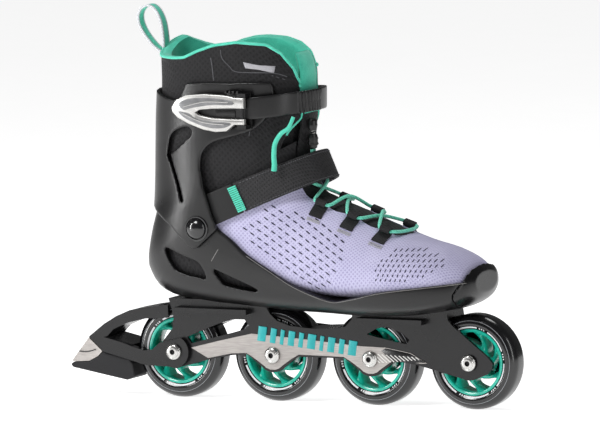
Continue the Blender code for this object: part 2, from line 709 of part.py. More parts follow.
def add_shell(look):
    inner = lambda i: section_ring(i, SHELL_GAP)
    shell = form_layer("boot_shell", 0, 14, shell_outer, inner, look["shell"])
    lobe_r = PIVOT_LOBE_R - 2.5
    hold = [(-185.0, 60.0), (180.0, 60.0), (180.0, 112.0)] + SHELL_TOP[::-1]
    hold += arc((PIVOT_X, PIVOT_Z), lobe_r, 10, 150, 8)
    hold += [(-128.0, 160.5), (-146.0, 161.5), (-185.0, 161.5)]
    keep(shell, side_cutter("shell_keep", hold))
    seam = [(x - GAP, z) for x, z in TOE_SEAM] + [(200.0, 122.0), (200.0, 60.0), (131.0 - GAP, 60.0)]
    cutters = [side_cutter("shell_seam", seam)]
    for number, vent in enumerate(HEEL_VENTS, 1):
        cutters.append(side_cutter(f"heel_vent_{number}", vent))
    groove = FRAME_HALF + 0.6
    cutters.append(block("frame_groove", (-170, -groove, 40), (122, groove, DECK_TOP + GAP)))
    flange = FLANGE_HALF + 1
    cutters.append(block("front_flange_room", (35, -flange, 40), (98, flange, FLANGE_TOP + GAP)))
    cutters.append(block("rear_flange_room", (-136, -flange, 40), (-64, flange, 78.0 + GAP)))
    for name, x in zip(("heel", "toe"), frame_bolt_x()):
        head_floor = FOOTBED - SHELL_GAP - GAP - FRAME_BOLT_HEAD - GAP
        cutters.append(rod(f"{name}_sole_bore", FRAME_BOLT_R + GAP, (x, 0, 70), (x, 0, 100), "Z",
                           sides=24))
        cutters.append(rod(f"{name}_sole_recess", FRAME_BOLT_HEAD_R + GAP, (x, 0, head_floor),
                           (x, 0, 100), "Z", sides=24))
    cutters.append(rod("shell_pivot_bore", PIVOT_BORE_R + RUNNING, (PIVOT_X, -80, PIVOT_Z),
                       (PIVOT_X, 80, PIVOT_Z), sides=32))
    cut(shell, *cutters)

    cap = form_layer("toe_cap", 0, 3, shell_outer, inner, look["shell"])
    ahead = [(x + GAP, z) for x, z in TOE_SEAM] + [(200, 122), (200, 60), (131.0 + GAP, 60)]
    keep(cap, side_cutter("toe_keep", ahead))
    rivets(look)


def pivot_face(extra):
    """|Y| of the boot's side at the cuff pivot, plus a distance outwards."""
    return SECTIONS[SPLIT][2] + extra


def rivets(look):
    for side, sign in (("lateral", -1), ("medial", 1)):
        inner = pivot_face(SHELL_GAP + GAP)
        seat = pivot_face(SHELL_GAP + SHELL_WALL + 1.2 + CUFF_WALL + 1.6)
        cap = [
            (0, seat + PIVOT_CAP_HEIGHT), (PIVOT_CAP_R * 0.7, seat + PIVOT_CAP_HEIGHT * 0.8),
            (PIVOT_CAP_R, seat + 1.0),
            (PIVOT_CAP_R, seat), (PIVOT_BORE_R, seat), (PIVOT_BORE_R, inner), (0, inner),
        ]
        made = turned(f"cuff_rivet_{side}", cap, (PIVOT_X, 0, PIVOT_Z), look["steel"], 28)
        made.rotation_euler = (-sign * math.pi / 2, 0, 0)
        smooth(made)


def add_soft_boot(look):
    upper = form_layer("boot_upper", 0, SPLIT, lambda i: section_ring(i, 0.0),
                       lambda i: section_ring(i, -UPPER_WALL), look["knit"])
    throat_front = 74.0
    cut(upper, block("throat", (-60, -THROAT_HALF, 120), (throat_front, THROAT_HALF, 260)))

    collar = form_layer("ankle_collar", SPLIT, 20, lambda i: lifted(section_ring(i, 0.0), i),
                        lambda i: lifted(section_ring(i, -COLLAR_WALL), i), look["padding"], False)
    rim = [
        (-170, 80), (40, 80), (40, 262), (-8.0, 268.0), (-8.0, 283.0), (-17.4, 296.3), (-32.4, 302.6),
        (-60.9, 305.0), (-82.4, 302.3), (-96.9, 297.2), (-111.4, 291.0), (-124.0, 288.6), (-170, 288.6),
    ]
    keep(collar, side_cutter("collar_rim", rim))
    mouth = [(-24.0, 200.0), (-28.5, 206.0), (-27.5, 218.0), (-21.5, 230.0), (-13.0, 240.0), (-10.5, 268.0),
             (-10.5, 320.0), (60.0, 320.0), (60.0, 120.0), (-24.0, 120.0)]
    cut(collar, side_cutter("collar_edge", mouth, COLLAR_MOUTH_HALF + 14.0),
        block("collar_mouth", (-60, -COLLAR_MOUTH_HALF, 120), (60, COLLAR_MOUTH_HALF, 330)))

    tongue = form_layer("tongue", 4, 20, lambda i: section_ring(i, -0.6),
                        lambda i: section_ring(i, -TONGUE_THICK), look["lining"], False)
    slit = THROAT_HALF - 0.5
    inside = block("tongue_strip", (-55, -slit, 125), (throat_front - 0.5, slit, 303.5))
    keep(tongue, inside)

    bed = form_solid("insole", 1, 13, lambda i: section_ring(i, -UPPER_WALL - 0.5), PARTS)
    bed.data.materials.append(look["foam"])
    low = FOOTBED + UPPER_WALL + 0.5
    keep(bed, block("insole_slice", (-170, -60, low), (170, 60, low + INSOLE_THICK)))


def lifted(ring, index):
    """Start the collar a hair above the upper that it continues."""
    lift = GAP * MM if index == SPLIT else 0.0
    return [(x, y, z + lift) for x, y, z in ring]


# --- cuff -------------------------------------------------------------------------------------
# How far the cuff's inner face stands off the boot, from its lowest section upwards: over the
# shell's share of the side, and behind the heel.
CUFF_OVER_SHELL = [1.0, 1.0, 1.0, 0.75, 0.35, 0.0, 0.0, 0.0, 0.0, 0.0]
CUFF_BEHIND = [8.0, 8.0, 6.5, 4.9, 3.8, 3.2, 2.4, 1.2, 1.2, 1.2]
CUFF_STAND_OFF = 0.8


def cuff_ring(index, wall):
    """The cuff stands off the shell where they overlap, and lies close to the collar higher up."""
    step = index - CUFF_FIRST
    over = (SHELL_GAP + SHELL_WALL + 0.4) * CUFF_OVER_SHELL[step]
    return section_ring(index, CUFF_STAND_OFF + over + wall, base=CUFF_BEHIND[step] + wall)


CUFF_OUTLINE = [
    (-185.0, 163.0), (-185.0, 262.0), (-150.5, 261.0), (-119.0, 255.0), (-110.5, 264.3), (-105.0, 269.4),
    (-34.0, 271.6), (-29.6, 268.0), (-29.6, 256.0), (-34.0, 243.0), (-48.1, 231.2), (-67.3, 225.2),
    (-84.1, 220.1), (-92.7, 212.4), (-95.3, 203.8), (-94.9, 195.2), (-92.3, 182.5), (-89.5, 172.0),
]
CUFF_WINDOW = [
    (-128.2, 208.8), (-128.4, 217.0), (-125.5, 224.6), (-119.3, 229.4), (-109.0, 232.6), (-104.0, 230.6),
    (-103.8, 227.0), (-110.5, 220.6),
]
CUFF_SLOT = [
    (-130.4, 209.4), (-125.6, 208.6), (-122.8, 199.4), (-117.2, 185.4), (-112.6, 170.0), (-114.6, 169.0),
    (-119.6, 184.6), (-125.2, 198.4), (-128.4, 204.0),
]


def add_cuff(look):
    cuff = form_layer("cuff", CUFF_FIRST, 20, lambda i: cuff_ring(i, CUFF_WALL), lambda i: cuff_ring(i, 0.0),
                      look["shell"], False)
    hold = list(CUFF_OUTLINE)
    hold += arc((PIVOT_X, PIVOT_Z), PIVOT_LOBE_R, 35, -140, 12)
    hold += [(-126.0, 149.0), (-140.0, 157.0), (-152.0, 163.0)]
    keep(cuff, side_cutter("cuff_keep", hold))
    cut(
        cuff,
        side_cutter("cuff_window", CUFF_WINDOW),
        side_cutter("cuff_slot", CUFF_SLOT),
        block("cuff_front_open", (-40, -COLLAR_MOUTH_HALF, 100), (60, COLLAR_MOUTH_HALF, 330)),
        rod("cuff_pivot_bore", PIVOT_BORE_R + RUNNING, (PIVOT_X, -80, PIVOT_Z), (PIVOT_X, 80, PIVOT_Z),
            sides=32),
    )
    add_pull_loop(look)


def add_pull_loop(look):
    """A closed teardrop of webbing that stands up behind the collar."""
    outer = [
        (-149.6, 289.4), (-157.0, 294.6), (-165.0, 303.4), (-170.6, 313.0), (-171.8, 321.0), (-168.8, 327.6),
        (-163.2, 330.6), (-157.4, 329.6), (-152.0, 324.0), (-148.4, 315.0), (-146.6, 303.0), (-146.4, 291.0),
    ]
    inner = [
        (-149.0, 292.4), (-156.0, 296.4), (-163.6, 304.6), (-168.8, 313.4), (-169.9, 320.8), (-167.5, 326.0),
        (-163.0, 328.6), (-158.4, 327.8), (-153.6, 323.0), (-150.2, 314.4), (-148.5, 303.0), (-148.2, 293.6),
    ]
    loop = plate("pull_loop", [outer, inner], 5.5)
    loop.data.materials.append(look["lining"])


# --- straps -----------------------------------------------------------------------------------
def wrap_point(edge, share, offset):
    """A point on a strap's edge line round the front of the boot.

    share runs from -1 to 1 over the bend; past that the line goes straight back, STRAIGHT_RUN for 1.
    """
    (rear_x, rear_z), (front_x, front_z), half, full = edge
    back = STRAIGHT_RUN * max(0.0, abs(share) - 1.0)
    angle = max(-1.0, min(1.0, share)) * math.pi / 2
    c, s = math.cos(angle), math.sin(angle)
    ahead = abs(c) ** (2 / full)
    slope = (front_z - rear_z) / (front_x - rear_x)
    x = rear_x + (front_x + offset - rear_x) * ahead - back
    y = (half + offset) * math.copysign(abs(s) ** (2 / full), s)
    z = rear_z + (front_z - rear_z) * ahead - back * slope
    return (x * MM, y * MM, z * MM)


def wrap_band(name, lower, upper, thick, finish, start=-1.0, end=1.0, count=26):
    """A flat band round the front of the boot between two edge lines."""
    build = bmesh.new()
    rings = []
    for k in range(count + 1):
        share = start + (end - start) * k / count
        corners = [
            wrap_point(lower, share, 0.0), wrap_point(lower, share, thick),
            wrap_point(upper, share, thick), wrap_point(upper, share, 0.0),
        ]
        rings.append([build.verts.new(p) for p in corners])
    for before, after in zip(rings, rings[1:]):
        ring_faces(build, before, after)
    build.faces.new(rings[0])
    build.faces.new(rings[-1])
    return smooth(mesh_object(name, build, finish), 50)


def add_straps(look):
    wrap_band("instep_strap_anchor", INSTEP_LOW, INSTEP_HIGH, STRAP_THICK, look["webbing"], -0.94,
              ANCHOR_SHARE - 0.006, 6)
    wrap_band("instep_strap", INSTEP_LOW, INSTEP_HIGH, STRAP_THICK, look["webbing"],
              ANCHOR_SHARE + 0.006, 0.94)
    strap = wrap_band("ankle_strap", ANKLE_LOW, ANKLE_HIGH, ANKLE_STRAP_THICK, look["shell"], -1.5, 1.2)
    x, z = -57.0, 249.4
    under = ANKLE_HALF + ANKLE_STRAP_THICK + GAP
    inner = SECTIONS[17][2] - 1.0
    profile = [
        (0, under + 2.2), (2.8, under + 2.2), (4.4, under + 1.2), (4.4, under), (2.2, under),
        (2.2, inner + 3.4), (0, inner + 3.4),
    ]
    screw = turned("ankle_strap_screw", profile, (x, 0, z), look["steel"], 20)
    smooth(screw)
    bore = rod("strap_screw_bore", 2.2 + GAP / 2, (x, 40.0, z), (x, 60.0, z), sides=20)
    cut(strap, bore)
    cut(bpy.data.objects["cuff"], bore)


def add_buckle(look):
    """Ratchet buckle: a base with two lugs on the cuff, a hinge pin, and a forked lever."""
    x, z = BUCKLE_HINGE_X, BUCKLE_HINGE_Z
    hinge_y = -(LEVER_INNER + LEVER_THICK / 2)
    outline = [
        (-103.0, 240.0), (-99.0, 233.4), (-70.0, 232.2), (-44.5, 233.2), (-44.5, 263.4),
        (-62.0, 263.0), (-101.0, 258.4),
    ]
    floor_y = -(BUCKLE_BASE_INNER + BUCKLE_BASE_THICK / 2)
    base = plate("buckle_base", [outline], BUCKLE_BASE_THICK / 2, floor_y)
    base.data.materials.append(look["shell"])
    lug_out = LEVER_INNER + LEVER_THICK - 0.4
    low_lug, high_lug = (233.4, 233.4 + LUG_WIDTH), (263.2 - LUG_WIDTH, 263.2)
    for name, (low, high) in (("low", low_lug), ("high", high_lug)):
        join(base, block(f"{name}_lug", (x - 4.0, -lug_out, low), (x + 4.0, -BUCKLE_BASE_INNER - 0.4, high)))
    bore = rod("buckle_pin_bore", BUCKLE_PIN_R + RUNNING, (x, hinge_y, 225.0), (x, hinge_y, 275.0), "Z",
               sides=20)
    cut(base, bore)
    pin = rod("buckle_pin", BUCKLE_PIN_R, (x, hinge_y, low_lug[0] + 0.3), (x, hinge_y, high_lug[1] - 0.3),
              "Z", look["steel"], PARTS, 16)
    smooth(pin)
    prong_low, prong_high = low_lug[1] + 0.4, high_lug[0] - 0.4
    fork = [
        (-115.3, 248.3), (-112.5, 243.4), (-99.4, 238.1), (-74.6, 230.1), (-62.0, 231.8), (-56.4, prong_low),
        (x + LEVER_NOSE, prong_low), (x + LEVER_NOSE, 242.0), (-60.0, 241.6), (-78.0, 242.0),
        (-92.0, 244.6), (-78.0, 249.6), (-60.0, 250.4), (x + LEVER_NOSE, 250.6),
        (x + LEVER_NOSE, prong_high), (-56.0, prong_high),
        (-62.0, 261.0), (-84.4, 262.4), (-102.0, 261.2),
        (-109.0, 258.2), (-113.6, 253.6),
    ]
    y = -(LEVER_INNER + LEVER_THICK / 2)
    lever = plate("buckle_lever", [fork], LEVER_THICK / 2, y)
    lever.data.materials.append(look["steel"])
    cut(lever, bore)


# --- lacing -----------------------------------------------------------------------------------
def instep_point(place, y, lift):
    """A point over the instep: place counts sections, y is across, lift is the height off the form."""
    index = min(int(place), len(SECTIONS) - 2)
    mix = place - index
    points = []
    for number in (index, index + 1):
        bottom, top, half, widest, _, full, _ = SECTIONS[number]
        bottom, top = Vector(bottom), Vector(top)
        middle = bottom.lerp(top, widest)
        c = min(abs(y) / half, 1.0) ** (full / 2)
        s = math.sqrt(1.0 - c * c)
        points.append(middle + (top - middle) * s ** (2 / full))
    flat = points[0].lerp(points[1], mix)
    return Vector((flat.x, y, flat.y)) + instep_normal(points[0], points[1], y, SECTIONS[index][2]) * lift


def instep_normal(before, after, y, half):
    """Outward direction, from the run of the instep and the roundness across it."""
    run = (after - before).normalized()
    lean = math.asin(min(abs(y) / half, 1.0)) * 0.75
    out = Vector((-run.y, 0, run.x))
    if out.z < 0 or (abs(out.z) < 0.3 and out.x < 0):
        out = -out
    side = Vector((0, math.copysign(1.0, y) if y else 0.0, 0))
    return out * math.cos(lean) + side * math.sin(lean)


def row_frame(row, side):
    """The lace's point in a loop, the throat's direction there, and the way out of the surface."""
    here = instep_point(row, side * LACE_SIDE, LOOP_LIFT)
    ahead = instep_point(row - 0.2, side * LACE_SIDE, LOOP_LIFT)
    behind = instep_point(row + 0.2, side * LACE_SIDE, LOOP_LIFT)
    along = (ahead - behind).normalized()
    base = instep_point(row, side * LACE_SIDE, 0.0)
    out = (here - base).normalized()
    out = (out - along * out.dot(along)).normalized()
    return here, along, out


def lace_route():
    """Two strands that cross over the tongue, pass the loops and meet at the toe end."""
    over = LACE_LIFT + 2 * LACE_R + 0.7
    strands = []
    for first_side, lift, lock_y in ((1, LACE_LIFT, -2.2), (-1, over, 2.2)):
        side = first_side
        low_end = LOCK_PLACE.y + lock_y
        points = [
            Vector((LOCK_PLACE.x, low_end, LOCK_BOTTOM - 0.4)),
            Vector((LOCK_PLACE.x, low_end, LOCK_BOTTOM - 7.0)),
            instep_point(9.6, -side * 9.0, lift), instep_point(8.8, -side * 10.5, lift),
        ]
        for number, row in enumerate(LACE_ROWS):
            before = 8.4 if number == 0 else LACE_ROWS[number - 1]
            points.append(instep_point((before + row) / 2, 0.0, lift))
            here, along, out = row_frame(row, side)
            inward = out.cross(along) * -side * 2.6
            points += [here - along * 7.5 + inward, here - along * 3.6, here, here + along * 3.6]
            points.append(here + along * 7.5 + inward)
            side = -side
        strands.append(points)
    toe = [instep_point(4.5, 12.0, LACE_LIFT), instep_point(4.42, 0.0, LACE_LIFT)]
    toe.append(instep_point(4.5, -12.0, LACE_LIFT))
    if strands[0][-1].y < 0:
        toe.reverse()
    return strands[0] + toe + strands[1][::-1]


def smooth_route(points, step=2.6):
    """Points on a Catmull-Rom curve through the route's own points."""
    out = []
    ends = [points[0]] + points + [points[-1]]
    for a, b, c, d in zip(ends, ends[1:], ends[2:], ends[3:]):
        count = max(1, round((c - b).length / step / 2))
        for k in range(count):
            t = k / count
            out.append(0.5 * ((2 * b) + (c - a) * t + (2 * a - 5 * b + 4 * c - d) * t * t
                              + (3 * b - a - 3 * c + d) * t ** 3))
    out.append(points[-1])
    return out


def tube(name, points, radius, finish, resolution=2):
    curve = bpy.data.curves.new(name, "CURVE")
    curve.dimensions = "3D"
    curve.bevel_depth = radius * MM
    curve.bevel_resolution = resolution
    curve.use_fill_caps = True
    spline = curve.splines.new("POLY")
    spline.points.add(len(points) - 1)
    for point, place in zip(spline.points, points):
        point.co = (*(place * MM), 1.0)
    return new_object(name, curve, finish)


def add_lacing(look):
    tube("laces", smooth_route(lace_route()), LACE_R, look["lace"], 1)
    shared = None
    tail = 13.0
    for number, row in enumerate(LACE_ROWS, 1):
        for side, sign in (("lateral", -1), ("medial", 1)):
            name = f"lace_loop_{number}_{side}"
            if shared is None:
                ring = arc((0, 0), LOOP_OUTER_R, 60, 270, 7)
                outline = ring + [(tail, -LOOP_OUTER_R), (tail, -LOOP_OUTER_R + 1.6), (4.0, 0.0)]
                eye = arc((0, 0), LOOP_INNER_R, 0, 330, 11)
                made = plate(name, [outline, eye], 2.8)
                made.data.materials.append(look["webbing"])
                shared = made.data
            else:
                made = new_object(name, shared, None)
            here, along, out = row_frame(row, sign)
            down = out.cross(along) * sign
            basis = Matrix((down, out, down.cross(out))).transposed()
            made.matrix_world = Matrix.Translation(here * MM) @ basis.to_4x4()
    add_lace_lock(look)


def add_lace_lock(look):
    """Cord lock: a body with a bored top, a coil spring in it, and a push button on a stem."""
    x, y = LOCK_PLACE
    top, floor, bore = 12.6, 7.0, 2.6
    body_profile = [
        (0, floor), (bore, floor), (bore, top), (3.6, top - 0.3), (4.3, top - 3.0), (4.3, 4.6), (3.4, 1.0),
        (2.0, 0), (0, 0),
    ]
    body = turned("lace_lock_body", body_profile, (x, y, LOCK_BOTTOM), look["shell"], 20)
    body.rotation_euler = (0, 0, 0)
    smooth(body)
    lift = top + LOCK_TRAVEL + GAP
    button_profile = [
        (0, lift + 10.0), (2.4, lift + 9.6), (3.8, lift + 7.6), (4.2, lift + 4.0), (3.4, lift), (1.1, lift),
        (1.1, floor + LOCK_TRAVEL + 0.6), (0, floor + LOCK_TRAVEL + 0.6),
    ]
    button = turned("lace_lock_button", button_profile, (x, y, LOCK_BOTTOM), look["shell"], 20)
    button.rotation_euler = (0, 0, 0)
    smooth(button)
    turns, per_turn, wire = 4, 8, 0.3
    low, high = floor + wire + 0.15, lift - wire - 0.15
    points = []
    for k in range(turns * per_turn + 1):
        angle = 2 * math.pi * k / per_turn
        height = low + (high - low) * k / (turns * per_turn)
        points.append(Vector((x + 1.85 * math.cos(angle), y + 1.85 * math.sin(angle), LOCK_BOTTOM + height)))
    tube("lace_lock_spring", points, wire, look["steel"], 1)


# --- assembly ---------------------------------------------------------------------------------
def place_on_origin():
    """Parent every part to one empty that brings the middle of the outline's box to the origin."""
    reach_x = axle_x(WHEEL_COUNT - 1) + WHEEL_R
    lateral = -(LEVER_INNER + LEVER_THICK)
    medial = max(section[2] for section in SECTIONS) + SHELL_GAP + SHELL_WALL
    root = bpy.data.objects.new("skate", None)
    collection(PARTS).objects.link(root)
    for name in (PARTS, CUTTERS):
        for made in collection(name).objects:
            if made is not root and made.parent is None:
                made.parent = root
    root.location = (-(BRAKE_TIP_X + reach_x) / 2 * MM, -(lateral + medial) / 2 * MM, 0)


def build_skate():
    clear_scene()
    look = finish_palette()
    add_wheels(look)
    add_frame(look)
    add_brake(look)
    add_shell(look)
    add_soft_boot(look)
    add_cuff(look)
    add_straps(look)
    add_buckle(look)
    add_lacing(look)
    place_on_origin()


build_skate()
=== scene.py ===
"""Looks of the right-foot inline skate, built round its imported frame.

Lengths are millimetres in the skate's own frame: X to the toe with X = 0 midway between the outer
axles, the floor at Z = 0, and -Y the lateral side. place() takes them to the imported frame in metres.
"""

import math

import bmesh
import bpy
from mathutils import Matrix, Vector
from mathutils.bvhtree import BVHTree


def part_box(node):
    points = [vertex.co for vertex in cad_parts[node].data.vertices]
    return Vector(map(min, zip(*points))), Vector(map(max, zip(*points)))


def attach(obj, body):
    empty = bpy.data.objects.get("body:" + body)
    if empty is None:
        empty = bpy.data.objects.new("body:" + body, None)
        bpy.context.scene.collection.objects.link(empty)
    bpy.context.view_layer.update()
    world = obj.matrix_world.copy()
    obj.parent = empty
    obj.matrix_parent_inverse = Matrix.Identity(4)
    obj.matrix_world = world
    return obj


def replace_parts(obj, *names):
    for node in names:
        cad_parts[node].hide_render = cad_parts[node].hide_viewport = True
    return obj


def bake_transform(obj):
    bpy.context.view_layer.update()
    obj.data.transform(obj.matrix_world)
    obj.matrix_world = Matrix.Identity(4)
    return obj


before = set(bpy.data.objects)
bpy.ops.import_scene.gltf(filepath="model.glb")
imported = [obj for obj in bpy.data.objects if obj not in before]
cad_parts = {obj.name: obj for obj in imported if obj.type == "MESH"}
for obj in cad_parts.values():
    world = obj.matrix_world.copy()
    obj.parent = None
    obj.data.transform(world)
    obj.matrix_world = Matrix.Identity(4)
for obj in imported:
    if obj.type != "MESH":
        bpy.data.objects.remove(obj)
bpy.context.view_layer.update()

MM = 0.001
WHEEL_R = 40.0
AXLES = (-136.5, -45.5, 45.5, 136.5)
tyre_low, tyre_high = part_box("tyre_1")
SHIFT = (tyre_low + tyre_high) / 2 - Vector((AXLES[0], 0.0, WHEEL_R)) * MM

FOOTBED = 91.0
SHELL_OUT = 4.0
RING = 96
# The boot's cross-sections from toe to rim: bottom or back point, top or front point, half width,
# where it is widest, fullness below and above, and how far an offset moves it ahead.
SECTIONS = [
    ((142.5, 103.0), (142.5, 112.5), 17.0, 0.5, 2.2, 2.2, 1.0),
    ((139.0, 99.0), (139.0, 120.0), 29.0, 0.42, 2.4, 2.1, 0.6),
    ((130.0, 96.0), (130.0, 127.5), 38.5, 0.38, 2.6, 2.1, 0.2),
    ((113.0, 94.0), (113.0, 135.0), 45.5, 0.36, 2.8, 2.0, 0.0),
    ((90.0, 92.0), (90.0, 141.0), 48.5, 0.34, 3.0, 2.0, 0.0),
    ((60.0, 91.2), (60.0, 152.0), 48.5, 0.32, 3.0, 2.0, 0.0),
    ((32.0, FOOTBED), (32.0, 164.0), 45.5, 0.32, 3.0, 2.0, 0.0),
    ((8.0, FOOTBED), (8.0, 173.0), 42.0, 0.34, 3.0, 2.1, 0.0),
    ((-22.0, FOOTBED), (-6.0, 180.0), 39.5, 0.36, 3.0, 2.1, 0.0),
    ((-62.0, FOOTBED), (-10.0, 188.5), 38.0, 0.38, 2.8, 2.2, 0.0),
    ((-105.0, FOOTBED), (-12.0, 197.0), 37.5, 0.42, 2.6, 2.3, 0.0),
    ((-140.0, 97.0), (-13.0, 206.0), 37.5, 0.44, 2.4, 2.4, 0.0),
    ((-153.0, 117.0), (-13.0, 215.0), 37.5, 0.46, 2.4, 2.5, 0.0),
    ((-153.5, 140.0), (-12.0, 224.0), 37.5, 0.48, 2.4, 2.5, 0.0),
    ((-149.5, 165.0), (-11.0, 234.0), 38.0, 0.5, 2.4, 2.5, 0.0),
    ((-148.5, 190.0), (-10.0, 244.0), 39.0, 0.5, 2.4, 2.5, 0.0),
    ((-148.0, 215.0), (-10.5, 255.0), 40.0, 0.5, 2.4, 2.5, 0.0),
    ((-147.5, 240.0), (-11.0, 267.0), 40.5, 0.5, 2.4, 2.5, 0.0),
    ((-146.8, 265.0), (-11.5, 281.0), 41.0, 0.5, 2.4, 2.5, 0.0),
    ((-147.0, 290.0), (-13.0, 297.0), 41.0, 0.5, 2.4, 2.5, 0.0),
    ((-147.5, 314.0), (-17.0, 316.0), 41.0, 0.5, 2.4, 2.5, 0.0),
]
TABLE = [(*bottom, *top, *rest) for bottom, top, *rest in SECTIONS]
SPLIT = 13


# --- node materials -----------------------------------------------------------------------------
def linear(colour):
    """An sRGB hex colour as linear RGBA."""
    parts = [int(colour[i:i + 2], 16) / 255 for i in (1, 3, 5)]
    return (*[c / 12.92 if c <= 0.04045 else ((c + 0.055) / 1.055) ** 2.4 for c in parts], 1.0)


def add(tree, kind, setting=None, **inputs):
    """Add a shader node; an input given a socket is linked, and any other value is set on it."""
    made = tree.nodes.new("ShaderNode" + kind)
    for key, value in (setting or {}).items():
        setattr(made, key, value)
    for key, value in inputs.items():
        numbered = key[0] == "i" and key[1:].isdigit()
        socket = made.inputs[int(key[1:]) if numbered else key.replace("_", " ")]
        if isinstance(value, bpy.types.NodeSocket):
            tree.links.new(value, socket)
        else:
            socket.default_value = value
    return made


def ramp(tree, value, stops):
    made = add(tree, "ValToRGB", Fac=value)
    made.color_ramp.elements[0].position, made.color_ramp.elements[0].color = stops[0]
    made.color_ramp.elements[1].position, made.color_ramp.elements[1].color = stops[-1]
    for position, colour in stops[1:-1]:
        made.color_ramp.elements.new(position).color = colour
    return made.outputs["Color"]


def finish(name, dark, light, roughness, grain=1.0, bump=0.1, metallic=0.0, coat=0.0, sheen=0.0,
           patch=18.0, weave=None, brushed=False, spread=0.08, shine=0.5):
    """A material whose colour drifts between two tones over patch mm, with grain mm relief.

    weave gives a thread pitch in mm, and brushed draws the grain out along X.
    """
    made = bpy.data.materials.new(name)
    made.use_nodes = True
    tree = made.node_tree
    tree.nodes.clear()
    where = add(tree, "TexCoord").outputs["Object"]
    drift = add(tree, "TexNoise", Vector=where, Scale=1000 / patch, Detail=3.0)
    if brushed:
        where_grain = add(tree, "Mapping", Vector=where, Scale=(0.06, 1.0, 1.0)).outputs["Vector"]
    else:
        where_grain = where
    fine = add(tree, "TexNoise", Vector=where_grain, Scale=1000 / grain, Detail=2.0)
    tone = add(tree, "Math", {"operation": "MULTIPLY_ADD"}, i0=fine.outputs["Fac"], i1=0.5)
    tree.links.new(add(tree, "Math", {"operation": "MULTIPLY"}, i0=drift.outputs["Fac"], i1=0.5).outputs[0],
                   tone.inputs[2])
    height = fine.outputs["Fac"]
    if weave:
        bands = {"bands_direction": "DIAGONAL"}
        pitch = 1000 / weave / 6.28
        warp = add(tree, "TexWave", bands, Vector=where, Scale=pitch, Distortion=0.6)
        turned = add(tree, "Mapping", Vector=where, Rotation=(0.0, math.radians(90), 0.0)).outputs["Vector"]
        weft = add(tree, "TexWave", bands, Vector=turned, Scale=pitch, Distortion=0.6)
        threads = add(tree, "Math", {"operation": "MAXIMUM"}, i0=warp.outputs["Fac"], i1=weft.outputs["Fac"])
        height = add(tree, "Math", {"operation": "MULTIPLY_ADD"}, i0=threads.outputs[0], i1=0.8,
                     i2=fine.outputs["Fac"]).outputs[0]
        tone = add(tree, "Math", {"operation": "MULTIPLY_ADD"}, i0=threads.outputs[0], i1=0.35,
                   i2=add(tree, "Math", {"operation": "MULTIPLY"}, i0=tone.outputs[0], i1=0.7).outputs[0])
    colour = ramp(tree, tone.outputs[0], [(0.3, linear(dark)), (0.72, linear(light))])
    rough = add(tree, "MapRange", Value=drift.outputs["Fac"], i3=max(0.02, roughness - spread),
                i4=min(1.0, roughness + spread))
    relief = add(tree, "Bump", Height=height, Strength=bump, Distance=grain * MM * 0.5)
    shader = add(tree, "BsdfPrincipled", Base_Color=colour, Roughness=rough.outputs[0], Metallic=metallic,
                 Normal=relief.outputs["Normal"], Coat_Weight=coat, Coat_Roughness=0.12, Sheen_Weight=sheen,
                 Specular_IOR_Level=shine)
    out = add(tree, "OutputMaterial")
    tree.links.new(shader.outputs[0], out.inputs["Surface"])
    return made


